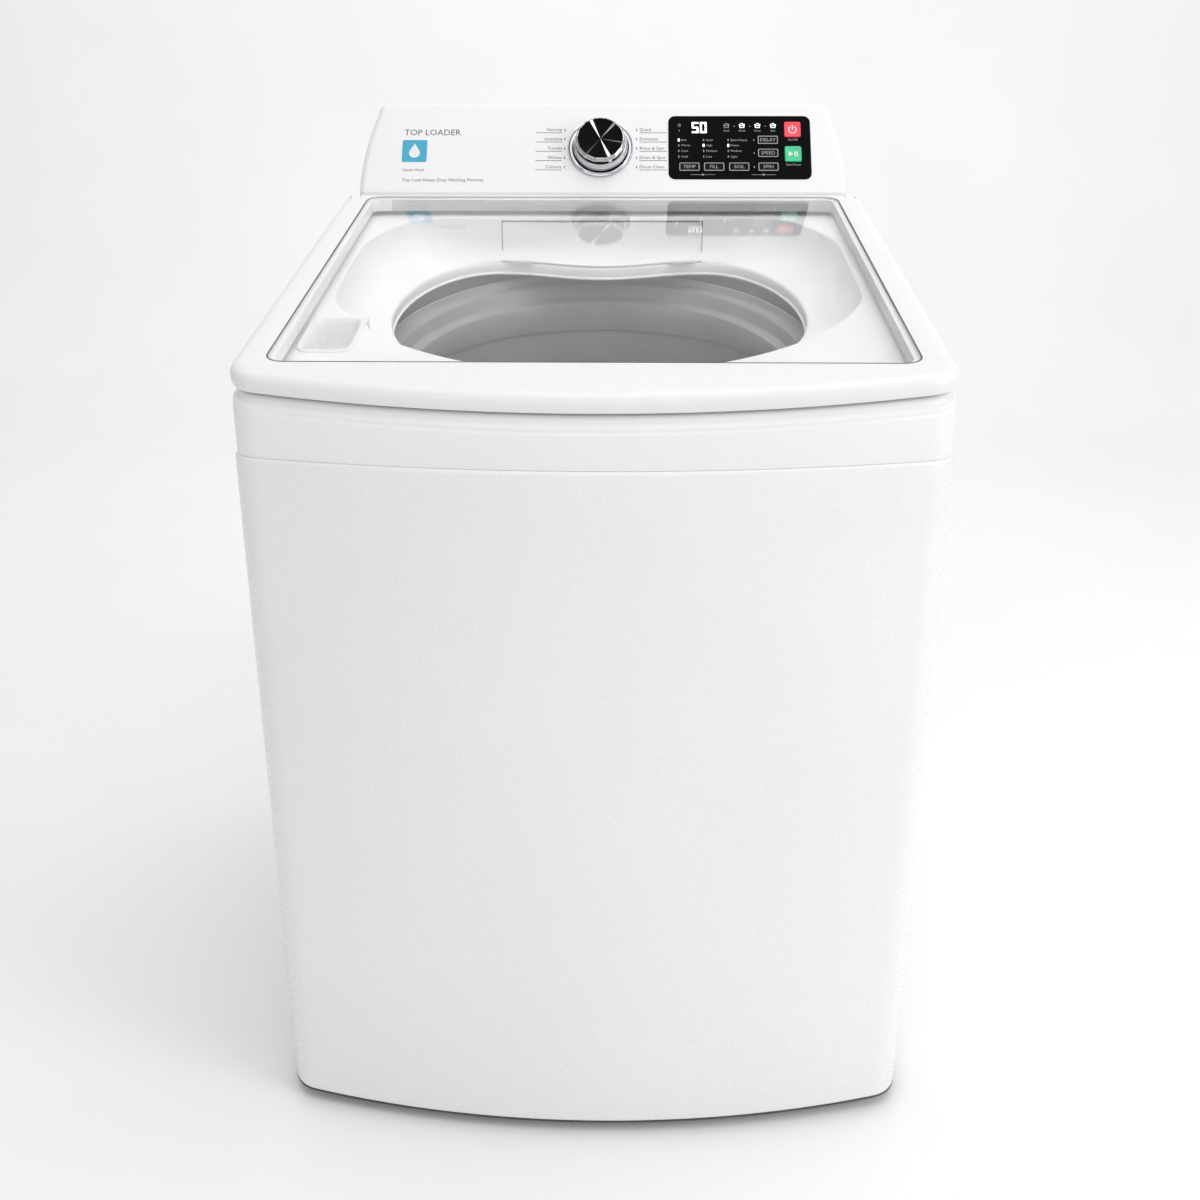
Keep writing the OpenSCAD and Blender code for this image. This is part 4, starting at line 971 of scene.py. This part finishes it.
def console_shell():
    """The white console moulding: an open-backed shell with softly rounded ends."""
    foot = [lid_z(CONSOLE_Y, RIM_DROP) - 3.0, 925.0, FACE_Z - 3.0, FACE_Z - 0.8, FACE_Z, FACE_Z + 0.8]
    face = list(np.linspace(FACE_Z + 4.0, CONSOLE_TOP - 14.0, 15))
    crown = [CONSOLE_TOP - 12.0 + 12.0 * math.sin(math.radians(a)) for a in range(6, 91, 6)]
    levels = foot + face + crown
    outer = [[(x, y, z) for x, y in console_chain(z, 0.0, 9.0)] for z in levels]
    inner_top = CONSOLE_TOP - CONSOLE_T
    inner = []
    for z in levels:
        share = (inner_top - CONSOLE_FOOT_Z) / (CONSOLE_TOP - CONSOLE_FOOT_Z)
        level = CONSOLE_FOOT_Z + (z - CONSOLE_FOOT_Z) * share
        inner.append([(x, y, level) for x, y in console_chain(level, CONSOLE_T, 6.0)])
    columns, rows = len(outer[0]), len(levels)
    points = [p for row in outer for p in row] + [p for row in reversed(inner) for p in row]
    faces = ring_faces(2 * rows, columns, True, None, False)
    for i in range(rows - 1):
        for j in (0, columns - 1):
            a, b = i * columns + j, (i + 1) * columns + j
            c, d = (2 * rows - 2 - i) * columns + j, (2 * rows - 1 - i) * columns + j
            faces.append((a, b, c, d))
    obj = make_piece("console_moulding", (points, faces), "console", "cabinet", "white_plastic",
                     "console_front")
    lo, hi = panel_limits()
    middle = [(a + b) / 2 for a, b in zip(lo, hi)]
    window = rounded_rect(*middle, hi[0] - lo[0] + 0.4, hi[1] - lo[1] + 0.4, 9.2, 8)
    cut(obj, [
        face_prism(window, -9.0, 12.0),
        face_prism(arc(KNOB["u"], KNOB["v"], 6.0, 0, 345, 23), -9.0, 12.0),
    ])
    paint(obj, ["console"])


def panel_limits():
    """The control glass's lowest and highest (u, v)."""
    lo, hi = low("control_glass"), high("control_glass")
    up = math.cos(FACE_TILT)
    bottom = (lo[2] - FACE_Z + 1.6 * math.sin(FACE_TILT)) / up
    top = (hi[2] - FACE_Z - GLASS_PROUD * math.sin(FACE_TILT)) / up
    return (lo[0], bottom), (hi[0], top)


def face_prism(outline, w0, w1):
    """A closed prism standing on the console's face."""
    return face_loft([(outline, w0), (outline, w1)])


def face_loft(outlines):
    """Closed shape from (outline, w) levels on the console's face."""
    return capped([tuple(on_face(u, v, w)) for outline, w in outlines for u, v in outline], len(outlines))


# ---- Print, lamps and symbols on the console ----


def bar(u0, v0, u1, v1, w, r=0.0):
    """A thin printed bar between two corners."""
    if r > 0:
        outline = rounded_rect((u0 + u1) / 2, (v0 + v1) / 2, u1 - u0, v1 - v0, r, 4)
    else:
        outline = [(u0, v0), (u1, v0), (u1, v1), (u0, v1)]
    return face_prism(outline, w - 0.02, w + PRINT)


def stroke(path, width, w, closed=False):
    """A printed line of even width along a path of (u, v)."""
    p = [np.array(q, float) for q in path]
    count = len(p)
    sides = []
    for i in range(count):
        before = p[(i - 1) % count] if closed or i > 0 else p[i]
        after = p[(i + 1) % count] if closed or i < count - 1 else p[i]
        along = (after - before) / max(np.linalg.norm(after - before), 1e-9)
        across = np.array((-along[1], along[0])) * width / 2
        sides.append((p[i] + across, p[i] - across))
    points = []
    for left, right in sides:
        for q, height in ((left, w - 0.02), (left, w + PRINT), (right, w + PRINT), (right, w - 0.02)):
            points.append(tuple(on_face(q[0], q[1], height)))
    return (looped if closed else capped)(points, count)


def words(text, u, v, size, w, align="LEFT"):
    """Plain lettering on the face."""
    curve = bpy.data.curves.new("words", "FONT")
    curve.body = text
    curve.size = size
    curve.align_x = align
    curve.align_y = "CENTER"
    curve.extrude = 0.03
    curve.resolution_u = 2
    obj = add_object("words", curve)
    graph = bpy.context.evaluated_depsgraph_get()
    mesh = bpy.data.meshes.new_from_object(obj.evaluated_get(graph))
    points = [tuple(on_face(u + q.co.x, v + q.co.y, w + 0.02 + q.co.z)) for q in mesh.vertices]
    faces = [tuple(f.vertices) for f in mesh.polygons]
    bpy.data.objects.remove(obj)
    bpy.data.curves.remove(curve)
    bpy.data.meshes.remove(mesh)
    return points, faces


def programme_print():
    """Programme names, their rules and the marks beside the knob."""
    names = (("Normal", "Quick"), ("Intensive", "Delicates"), ("Towels", "Rinse & Spin"),
             ("Whites", "Drain & Spin"), ("Colours", "Drum Clean"))
    shapes = []
    for i, (left, right) in enumerate(names):
        v = 92.3 - 13.9 * i
        shapes.append(words(left, -54.0, v + 0.6, 6.6, 0, "RIGHT"))
        shapes.append(bar(-89.0, v - 4.2, -54.0, v - 3.4, 0))
        shapes.append(bar(-51.2, v - 1.6, -50.0, v + 2.2, 0))
        shapes.append(words(right, 48.5, v + 0.6, 6.6, 0))
        shapes.append(bar(48.5, v - 4.2, 85.0, v - 3.4, 0))
        shapes.append(bar(44.2, v - 1.6, 45.4, v + 2.2, 0))
    shapes.append(words("Top Load Heavy Duty Washing Machine", -265.0, 17.7, 6.6, 0))
    shapes.append(words("Gentle Wash", -265.0, 32.6, 5.4, 0))
    shapes.append(words("TOP LOADER", -265.0, 88.5, 12.5, 0))
    make_piece("programme_print", join(shapes), "print", "cabinet")


def drop_tile():
    """A plain blue tile with a white water drop."""
    cx, cy, size = -250.0, 61.0, 33.0
    edge = rounded_rect(cx, cy, size, size, 2.5, 5)
    levels = [(edge, -0.02), (edge, 0.2), (rounded_rect(cx, cy, size - 0.8, size - 0.8, 2.1, 5), 0.35)]
    make_piece("blue_tile", face_loft(levels), "tile", "cabinet")
    drop = [(cx, cy + 11.0)] + arc(cx, cy - 3.0, 7.2, 35, -215, 28)
    make_piece("water_drop_mark", face_prism(drop, 0.3, 0.45), "white_print", "cabinet")


def seven_segments(digit, u, v, width, height, thick):
    """One digit of the display from seven bars."""
    on = {"5": "afgcd", "0": "abcdef"}[digit]
    gap, mid = 0.35, v + height / 2
    bars = {
        "a": (u, v + height - thick, u + width, v + height),
        "d": (u, v, u + width, v + thick),
        "g": (u + gap, mid - thick / 2, u + width - gap, mid + thick / 2),
        "f": (u, mid + gap, u + thick, v + height),
        "b": (u + width - thick, mid + gap, u + width, v + height),
        "e": (u, v, u + thick, mid - gap),
        "c": (u + width - thick, v, u + width, mid - gap),
    }
    return [bar(*bars[s], GLASS_PROUD, 0.5) for s in on]


def panel_print():
    """Display, lamps, lamp names and stage icons on the black glass."""
    lit, dim = [], []
    for digit, u in (("5", 118.0), ("0", 128.9)):
        lit += seven_segments(digit, u, 87.7, 9.0, 16.6, 2.7)
    columns = {
        100.6: ("Hot", "Warm", "Cool", "Cold"),
        133.5: ("Auto", "High", "Medium", "Low"),
        166.0: ("Extra Heavy", "Heavy", "Medium", "Light"),
    }
    rows = (77.2, 69.2, 60.9, 52.4)
    chosen = {100.6: 0, 133.5: 1, 166.0: 1}
    for u, names in columns.items():
        for i, v in enumerate(rows):
            target = lit if chosen[u] == i else dim
            grow = 0.5 if chosen[u] == i else 0.0
            w, h = 0.7 + grow, 1.7 + grow
            target.append(bar(u - w, v - h, u + w, v + h, GLASS_PROUD, 0.4))
            dim.append(words(names[i], u + 3.0, v, 4.6, GLASS_PROUD))
    for v in (37.0, 57.6, 77.1):
        dim.append(bar(199.4, v - 1.2, 200.6, v + 1.2, GLASS_PROUD, 0.3))
    for i, name in enumerate(("Soak", "Wash", "Rinse", "Spin")):
        u = 164.0 + 20.6 * i
        target = lit if i else dim
        target.append(stroke([(u - 3.2, 101.2), (u - 2.6, 96.0), (u + 2.6, 96.0), (u + 3.2, 101.2)], 1.2,
                             GLASS_PROUD))
        target.append(stroke(arc(u, 100.6, 1.7, 200, 520, 12), 0.9, GLASS_PROUD))
        dim.append(words(name, u, 91.2, 4.0, GLASS_PROUD, "CENTER"))
        if i:
            dim.append(bar(u - 11.4, 97.6, u - 9.2, 98.4, GLASS_PROUD))
    dim.append(stroke(arc(101.5, 99.5, 1.6, 0, 330, 11), 0.8, GLASS_PROUD, True))
    dim.append(bar(100.7, 90.6, 102.3, 92.0, GLASS_PROUD))
    for u, v in ((132.0, 25.6), (212.0, 25.6)):
        dim.append(bar(u - 16.0, v - 0.25, u + 16.0, v + 0.25, GLASS_PROUD))
        dim.append(face_prism(arc(u, v, 1.5, 0, 324, 9), GLASS_PROUD - 0.02, GLASS_PROUD + 0.06))
    make_piece("display_lit", join(lit), "lit", "cabinet", "black_glass")
    make_piece("display_dim", join(dim), "dim", "cabinet", "black_glass")


KEYS = {
    "temp_key": ((114.5, 37.0), "TEMP"),
    "fill_key": ((147.0, 37.0), "FILL"),
    "soil_key": ((180.0, 37.0), "SOIL"),
    "spin_key": ((218.5, 37.0), "SPIN"),
    "speed_key": ((218.5, 57.6), "SPEED"),
    "delay_key": ((218.5, 77.1), "DELAY"),
}
KEY_SIZE = (29.5, 15.0)
BUTTON_SIZE = (22.0, 23.0)
KEY_TOP = 1.4


def key_levels(at, size, r):
    """Levels of a key from its hidden back to its lightly dished face."""
    rows = ((0.0, -6.0), (0.0, KEY_TOP - 0.7), (-0.25, KEY_TOP - 0.2), (-0.8, KEY_TOP), (-1.5, KEY_TOP),
            (-2.6, KEY_TOP), (-3.0, KEY_TOP - 0.18), (-4.0, KEY_TOP - 0.22))
    return [(rounded_rect(*at, size[0] + 2 * grow, size[1] + 2 * grow, max(0.6, r + grow), 5), w)
            for grow, w in rows]


def control_keys():
    """Six framed black keys with their names, the red power button and the green start button."""
    for node, (at, name) in KEYS.items():
        levels = key_levels(at, KEY_SIZE, 3.0)
        points, faces = face_loft(levels)
        columns = len(levels[0][0])
        framed = [1 if 4 * columns <= f < 5 * columns else 0 for f in range(len(faces))]
        look = (["key", "key_line"], framed)
        make_piece(f"{node}_cap", (points, faces), look, node, "key_black", node)
        make_piece(f"{node}_name", words(name, *at, 7.0, KEY_TOP - 0.22, "CENTER"), "key_line", node)
    power, start = (251.5, 93.0), (251.5, 56.3)
    for name, at, look in (("power", power, "red"), ("start", start, "green")):
        node = f"{name}_button"
        shape = face_loft(key_levels(at, BUTTON_SIZE, 2.5))
        make_piece(f"{node}_cap", shape, look, node, f"{name}_{look}", node)
    top = KEY_TOP - 0.2
    u, v = power
    symbol = [stroke(arc(u, v - 0.5, 5.0, 122, 418, 24), 1.3, top),
              bar(u - 0.65, v - 0.5, u + 0.65, v + 6.4, top)]
    make_piece("power_symbol", join(symbol), "white_print", "power_button")
    u, v = start
    play = face_prism([(u - 6.0, v - 3.8), (u + 0.2, v), (u - 6.0, v + 3.8)], top - 0.02, top + PRINT)
    pause = [bar(u + 1.6, v - 3.6, u + 3.2, v + 3.6, top), bar(u + 4.6, v - 3.6, u + 6.2, v + 3.6, top)]
    make_piece("start_symbol", join([play] + pause), "white_print", "start_button")
    names = [words("On/Off", power[0], 77.6, 4.4, GLASS_PROUD, "CENTER"),
             words("Start/Pause", start[0], 40.6, 4.4, GLASS_PROUD, "CENTER")]
    make_piece("button_names", join(names), "key_line", "cabinet")


# ---- Knob ----


def knob_frame():
    """The knob's own axes: local Z out of the console's face."""
    turn = Matrix((Vector((1, 0, 0)), FACE_UP, FACE_OUT)).transposed().to_4x4()
    return Matrix.Translation(on_face(KNOB["u"], KNOB["v"]) * MM) @ turn


def knob():
    """Chrome bezel, dark gap, chrome skirt and a black spun cap with a faceted rim."""
    place = knob_frame()
    b = KNOB["bezel"]
    ring = [(b - 6.2, -0.4), (b - 6.2, 1.4), (b - 5.4, 2.2), (b - 4.8, 2.2), (b - 4.2, 1.5), (b - 3.2, 1.5),
            (b - 2.6, 3.0), (b - 1.6, 4.0), (b - 0.7, 3.6), (b - 0.1, 2.2), (b, 0.6), (b - 0.2, -0.4)]
    turned("knob_bezel_ring", ring, (0, 0), "chrome", "cabinet", True, slot="chrome", node="knob_bezel",
           owner=place)
    gap = [(3.4, 0.05), (3.4, 0.5), (b - 5.9, 0.5), (b - 5.9, 0.05)]
    turned("knob_shadow_gap", gap, (0, 0), "black_glass", "cabinet", True, slot="black_glass", owner=place)
    s = b - 7.0
    skirt = [(3.3, 2.0), (s - 1.2, 2.0), (s - 0.3, 2.4), (s, 3.2), (s, 6.0), (s - 0.5, 8.0), (s - 1.6, 10.5),
             (s - 2.0, 12.6), (s - 2.4, 13.6), (s - 3.6, 14.1), (3.3, 14.1)]
    turned("knob_skirt_ring", skirt, (0, 0), "chrome", "knob", True, slot="chrome", node="knob_skirt",
           owner=place)
    knob_cap(place)


def knob_cap(place):
    """The cap: fourteen flats round its rim and a shallow dished top."""
    flats, turns, r = 14, 168, KNOB["bezel"] - 10.0
    h = KNOB["h"]
    rows = [(r - 1.6, h - 10.0, 0.0), (r - 0.2, h - 9.4, 0.0), (r, h - 8.0, 0.2), (r, h - 4.4, 0.7),
            (r - 0.8, h - 1.8, 1.0), (r - 2.4, h - 0.3, 1.0), (r - 3.4, h, 0.6), (r - 4.4, h - 0.3, 0.2),
            (r * 0.6, h - 0.9, 0.0),
            (r * 0.3, h - 1.3, 0.0), (r * 0.08, h - 1.45, 0.0)]
    points = []
    for radius, z, facet in rows:
        for a in full_turn(turns):
            part = (a % (2 * math.pi / flats)) - math.pi / flats
            flat = math.cos(math.pi / flats) / math.cos(part)
            q = radius * (1 + facet * (flat - 1))
            points.append((q * math.cos(a), q * math.sin(a), z))
    points, faces = capped(points, len(rows))
    chrome_rim = [1 if f // turns in (3, 4, 5) else 0 for f in range(len(faces))]
    make_piece("knob_cap_spun", (points, faces), (["spun", "chrome"], chrome_rim), "knob", "knob_black",
               "knob_cap", sharp=22.0, owner=place)


# ---- Inside: tub ring, balance ring, drum and impeller ----



def radius(node):
    """Half the width of a round CAD node."""
    return (high(node)[0] - low(node)[0]) / 2


DRUM_R = radius("drum_base")
DRUM_TOP = high("drum")[2]
DRUM_FLOOR = low("drum_base")[2]
TUB_TOP = low("tub_ring")[2]
IMPELLER_R = radius("impeller")
AXIS = (0.0, TUB_Y)


def tub_ring():
    """The splash ring: stepped shelves that slope with the deck, and an inner lip."""
    angles = fan(AXIS, [], step=1.5)
    loft = PolarLoft(AXIS, angles)
    floor = TUB_TOP + 4.0
    flange = ((292.0, TUB_TOP), (292.0, TUB_TOP + 3.2), (291.2, TUB_TOP + 4.0), (255.5, TUB_TOP + 4.0))
    for r, z in flange:
        loft.add(r, z=z)
    steps = [
        (253.6, 40.0), (253.0, 36.0), (253.0, 30.0), (252.4, 28.6), (251.4, 28.0), (250.4, 28.6),
        (250.0, 30.0), (250.0, 34.5), (248.6, 37.2), (246.0, 38.0), (239.5, 38.0), (237.2, 38.8),
        (236.0, 41.0), (236.0, 51.0), (234.8, 54.4), (232.0, 56.0), (225.5, 56.0), (223.0, 57.0),
        (222.0, 59.6),
    ]
    for i, (r, below) in enumerate(steps):
        loft.add(r, drop=BOWL_DROP + below, floor=floor + 0.02 * i)
    lip_slope = math.tan(math.radians(7.4))
    y = AXIS[1] + 222.0 * np.sin(angles)
    upper = np.maximum(lid_z(y, BOWL_DROP + 60.0), floor + 0.4)
    lip = np.minimum(np.clip(733.0 + y * lip_slope, 708.0, None), upper - 0.3)
    for r, rise in ((222.0, 1.6), (222.5, 0.4), (223.5, 0.0), (224.6, 0.5), (225.0, 2.0)):
        loft.add(r, z=lip + np.minimum(rise, upper - lip - 0.2))
    loft.add(225.0, z=TUB_TOP)
    make_piece("tub_ring_moulding", loft.tube(), "ring", "tub", "ring_plastic", "tub_ring")


def balance_ring():
    """The hollow ring at the drum's top, with shallow steps."""
    lo, hi = low("balance_ring")[2], high("balance_ring")[2]
    r = radius("balance_ring")
    inner = 203.0
    profile = rounded([(r, lo + 3), (r, hi - 2), (r - 6, hi), (r - 14, hi), (r - 15.5, hi - 2.5),
                       (r - 26, hi - 2.5), (r - 27.5, hi), (inner + 9, hi), (inner, hi - 9),
                       (inner, lo + 12), (inner + 12, lo),
                       (r - 4, lo), (r, lo + 3)], 2.5, 3)
    turned("balance_ring_moulding", profile[:-1], AXIS, "balance", "drum", True, turns=160,
           slot="ring_plastic", node="balance_ring")


# The eight points round a square cell, from the middle of its right side anticlockwise
CELL_EDGE = ((1, 0), (1, 1), (0, 1), (-1, 1), (-1, 0), (-1, -1), (0, -1), (1, -1))


def drum_wall():
    """Stainless drum: rolled rim, pressed beads and rows of real holes."""
    z0, z1 = low("drum")[2], DRUM_TOP
    columns, r_out, t = 96, DRUM_R, 1.0
    pitch = 24.0
    first, last = z0 + 22.0, z1 - 44.0
    count = int((last - first) / pitch)
    cell_turn = 2 * math.pi / columns

    def wall_point(turn, z, depth):
        bead = sum(1.3 * math.exp(-(((z - middle) / 4.0) ** 2)) for middle in (z0 + 12, z1 - 34))
        r = r_out - 0.1 - depth - bead
        return (AXIS[0] + r * math.cos(turn), AXIS[1] + r * math.sin(turn), z)

    def plain_band(za, zb, steps):
        levels = np.linspace(za, zb, steps + 1)
        band = [wall_point(cell_turn * j / 2, z, d) for d, zs in ((0.0, levels), (t, levels[::-1]))
                for z in zs for j in range(2 * columns)]
        return looped(band, 2 * (steps + 1))

    def pierced_band(za):
        band, out = [], []
        hole = 2.3
        for j in range(columns):
            mid = cell_turn * (j + 0.5)
            zc = za + pitch / 2
            start = len(band)
            for d in (0.0, t):
                for x, y in CELL_EDGE:
                    band.append(wall_point(mid + x * cell_turn / 2, zc + y * pitch / 2, d))
                for k in range(8):
                    a = math.pi / 4 * k
                    band.append(wall_point(mid + hole * math.cos(a) / r_out, zc + hole * math.sin(a), d))
            for k in range(8):
                m = (k + 1) % 8
                out.append((start + k, start + m, start + 8 + m, start + 8 + k))
                out.append((start + 16 + k, start + 24 + k, start + 24 + m, start + 16 + m))
                out.append((start + 8 + k, start + 8 + m, start + 24 + m, start + 24 + k))
        return band, out

    shapes = [plain_band(z0, first, 10)]
    for i in range(count):
        shapes.append(pierced_band(first + i * pitch))
    shapes.append(plain_band(first + count * pitch, z1 - 2.0, 14))
    points, faces = join(shapes)
    make_piece("drum_wall", (points, faces), "drum", "drum", "drum_steel", "drum", sharp=50.0)
    rim = arc(DRUM_R, DRUM_TOP, 2.6, 0, 360, 14)[:-1]
    turned("drum_rolled_rim", rim, AXIS, "drum", "drum", True, turns=160, slot="drum_steel")


def drum_base():
    """The moulded floor of the drum round the impeller."""
    z, r, well = DRUM_FLOOR, DRUM_R, IMPELLER_R + 3.0
    profile = rounded([(17.6, z), (r - 12, z), (r, z + 10), (r, z + 26), (r - 2, z + 26), (r - 2, z + 39),
                       (r - 7.5, z + 39), (r - 12, z + 22), (r - 20, z + 18), (well + 12, z + 18),
                       (well + 7, z + 25.5), (well + 1.5, z + 25.5), (well, z + 22), (well - 1, z + 10),
                       (17.6, z + 10)], 3.0, 3)
    turned("drum_floor_moulding", profile, AXIS, "drum_plastic", "drum", True, turns=160, slot="drum_plastic",
           node="drum_base")


def impeller():
    """A wash plate with six swept vanes, a domed hub and small studs between the vanes."""
    base = low("impeller")[2]
    top = high("impeller")[2]
    rings, turns, vanes = 64, 288, 6
    points = []
    for i in range(rings + 1):
        r = 1.0 + (IMPELLER_R - 1.0) * i / rings
        share = r / IMPELLER_R
        for a in full_turn(turns):
            swept = a + 0.55 * share**1.5
            crest = math.cos(swept * vanes / 2.0) ** 2
            along = min(1.0, max(0.0, (share - 0.16) / 0.8))
            vane = crest**7 * 17.0 * math.sin(math.pi * along) ** 0.7
            hub = (top - base - 12.0) / (1 + math.exp((r - 34.0) / 5.0))
            dish = 9.0 - 4.0 * math.exp(-(((share - 0.7) / 0.25) ** 2))
            stud_a = math.sin(swept * vanes / 2.0) ** 2
            stud = 3.0 * stud_a ** 20 * math.exp(-(((share - 0.72) / 0.05) ** 2))
            edge = 1.0 - max(0.0, (share - 0.965) / 0.035) ** 2
            z = base + 2.0 + (dish + vane + hub + stud) * edge
            points.append((AXIS[0] + r * math.cos(a), AXIS[1] + r * math.sin(a), min(z, top - 0.1)))
    points += lathe([(r, base) for r in (IMPELLER_R, 60.0, 11.0)], AXIS, turns)
    faces = ring_faces(rings + 4, turns) + [cap(turns, 0)]
    make_piece("impeller_plate", (points, faces), "drum_plastic", "impeller", "drum_plastic", "impeller",
               sharp=60.0)


def lint_filters():
    """Two lint pockets on the drum wall: a frame and a net of crossing bars."""
    shapes = []
    z0, z1 = low("lint_filters")[2], high("lint_filters")[2]
    mesh_pitch = 6.0
    wire = ((-0.6, -0.6), (0.6, -0.6), (0.6, 0.6), (-0.6, 0.6))
    for turn in (60.0, 240.0):
        a0 = math.radians(turn)

        def at(across, z, r):
            a = a0 + across / 236.0
            return (AXIS[0] + r * math.cos(a), AXIS[1] + r * math.sin(a), z)

        outline = rounded_rect(0, (z0 + z1) / 2, 70.0, z1 - z0, 12, 6)
        inner = rounded_rect(0, (z0 + z1) / 2, 50.0, z1 - z0 - 24.0, 7, 6)
        crown = [(x * 0.96, z) for x, z in outline]
        levels = [(outline, 247.6), (outline, 238.0), (crown, 235.6), (inner, 234.8), (inner, 240.0),
                  (inner, 247.6)]
        points = [at(x, z, r) for chain, r in levels for x, z in chain]
        shapes.append(looped(points, len(levels)))
        for k in range(9):
            x = -24.0 + mesh_pitch * k
            strip = [at(x + dx, z, 237.0 + dr) for z in np.linspace(z0 + 11, z1 - 11, 9) for dx, dr in wire]
            shapes.append(capped(strip, 9))
        for z in np.arange(z0 + 17, z1 - 14, mesh_pitch):
            strip = [at(x, z + dz, 237.6 + dr) for x in np.linspace(-26, 26, 7) for dz, dr in wire]
            shapes.append(capped(strip, 7))
    make_piece("lint_filter_nets", join(shapes), "balance", "drum", "drum_plastic", "lint_filters")


# ---- Feet and the plain CAD nodes ----


def feet():
    """Levelling feet: ribbed pad, round collar and threaded stud."""
    for name in ("front_left", "front_right", "rear_left", "rear_right"):
        node = f"foot_{name}"
        lo, hi = low(node), high(node)
        centre = ((lo[0] + hi[0]) / 2, (lo[1] + hi[1]) / 2)
        z0 = lo[2]
        profile = [(0.5, z0 + 0.4), (10, z0 + 0.4), (10.6, z0), (20.4, z0), (21.6, z0 + 0.8),
                   (22.0, z0 + 2.2),
                   (21.2, z0 + 2.7), (22.0, z0 + 3.2), (21.6, z0 + 5.2), (20.4, z0 + 6.0), (18.4, z0 + 6.3),
                   (18.0, z0 + 8.2), (17.2, z0 + 8.9), (5.0, z0 + 9.0)]
        z = z0 + 10.0
        while z < hi[2] - 2.0:
            profile += [(5.0, z), (4.3, z + 0.7)]
            z += 1.5
        profile += [(4.6, hi[2] - 0.8), (3.8, hi[2]), (0.5, hi[2])]
        turns, pad_rows = 72, 13
        points, faces = capped(lathe(profile, centre, turns), len(profile))
        stud = [1 if f // turns >= pad_rows else 0 for f in range(len(faces))]
        make_piece(f"{node}_pad", (points, faces), (["foot", "zinc"], stud), node, "foot_plastic", node)


DRESSED = {
    "rear_panel": ("panel", 0.6), "base_frame": ("base", 0.8), "corner_brackets": ("zinc", 0.5),
    "suspension_rods": ("zinc", 0.5), "console_rear_cover": ("console", 0.4),
    "control_glass": ("black_glass", 0.25),
    "knob_encoder": ("grey", 0.4), "control_board": ("board", 0.2), "power_board": ("board", 0.4),
    "hot_inlet_valve": ("hot", 0.6), "cold_inlet_valve": ("cold", 0.6), "dispenser_housing": ("bowl", 0.6),
    "drain_pump": ("base", 0.8), "drain_outlet": ("base", 0.5), "mains_gland": ("foot", 0.5),
    "lid_lock": ("grey", 0.5), "lid_bumpers": ("bumper", 0.5), "cover_screws": ("zinc", 0.3),
    "hinge_pins": ("zinc", 0.4), "lid_striker": ("zinc", 0.3), "lock_bolt": ("lock", 0.4),
    "detergent_drawer": ("bowl", 0.7), "outer_tub": ("tub", 0.8), "motor": ("motor", 0.8),
    "drive_housing": ("cast", 0.8), "shaft_bearings": ("zinc", 0.4), "suspension_springs": ("zinc", 0.0),
    "drive_belt": ("rubber", 0.4), "drain_hose": ("rubber", 0.0), "spin_shaft": ("zinc", 0.4),
    "drive_shaft": ("zinc", 0.4), "main_pulley": ("cast", 0.5), "motor_pulley": ("cast", 0.4),
}


# ---- Stage, camera and light ----


def studio():
    """Plain pale floor that rises into a backdrop."""
    mat, tree, shader = new_material("pale_floor", 0.6)
    feed(tree, shader, Base_Color=tint(tree, noise(tree, 1.5), (0.90,) * 3, (0.92,) * 3))
    chain = [(-4.0, 0.0), (2.6, 0.0)] + arc(2.6, 1.4, 1.4, -90, 0, 12, 1) + [(4.0, 6.0)]
    mesh = bpy.data.meshes.new("floor")
    points = [(x, y, z) for y, z in chain for x in (-6.0, 6.0)]
    mesh.from_pydata(points, [], [(2 * i, 2 * i + 1, 2 * i + 3, 2 * i + 2) for i in range(len(chain) - 1)])
    mesh.materials.append(mat)
    mesh.shade_smooth()
    add_object("floor", mesh)


def area_light(name, place, target, size, watts):
    """A rectangular lamp at place that points at target."""
    lamp = bpy.data.lights.new(name, "AREA")
    lamp.shape = "RECTANGLE"
    lamp.size, lamp.size_y = size
    lamp.energy = watts
    obj = add_object(name, lamp)
    obj.location = place
    obj.rotation_mode = "QUATERNION"
    obj.rotation_quaternion = (Vector(target) - Vector(place)).to_track_quat("-Z", "Y")


def lights():
    """Soft light from above, the right and the front, on a pale surround."""
    world = bpy.data.worlds.new("surround")
    bpy.context.scene.world = world
    world.use_nodes = True
    tree = world.node_tree
    axes = put(tree, "SeparateXYZ", Vector=put(tree, "TexCoord").outputs["Generated"])
    across = put(tree, "MapRange", Value=axes.outputs["X"], From_Min=-1.0, To_Min=0.46, To_Max=0.78)
    feed(tree, tree.nodes["Background"], Color=(1.0, 1.0, 1.0, 1), Strength=across.outputs["Result"])
    area_light("overhead", (0.3, -0.5, 3.0), (0, 0, 0.7), (2.4, 2.0), 21)
    area_light("right_side", (2.8, -1.6, 1.7), (0, 0, 0.6), (1.4, 2.0), 31)
    area_light("front_fill", (-0.4, -3.2, 1.9), (0, 0, 0.6), (2.6, 1.8), 15)
    area_light("backdrop_wash", (0.0, 1.4, 4.0), (0, 4.0, 1.0), (7.0, 1.0), 56)
    bpy.context.scene.view_settings.view_transform = "Standard"


def camera():
    """The viewpoint: in front, a little right of the middle, looking down."""
    data = bpy.data.cameras.new("camera")
    data.sensor_width = 36.0
    data.lens = 37.2
    data.shift_y = -0.0337
    obj = add_object("camera", data)
    obj.location = (0.0265, -1.4276, 1.0284)
    obj.rotation_euler = (math.radians(70.58), 0, math.radians(1.0))
    bpy.context.scene.camera = obj


MAKERS = (
    cabinet_wrap, top_cover, bleach_cup, lid, console_shell, programme_print, drop_tile, panel_print,
    control_keys, knob, tub_ring, balance_ring, drum_wall, drum_base, impeller, lint_filters, feet,
)

for make in MAKERS:
    make()
for node, (look, bevel) in DRESSED.items():
    dress(node, look, bevel)
studio()
lights()
camera()
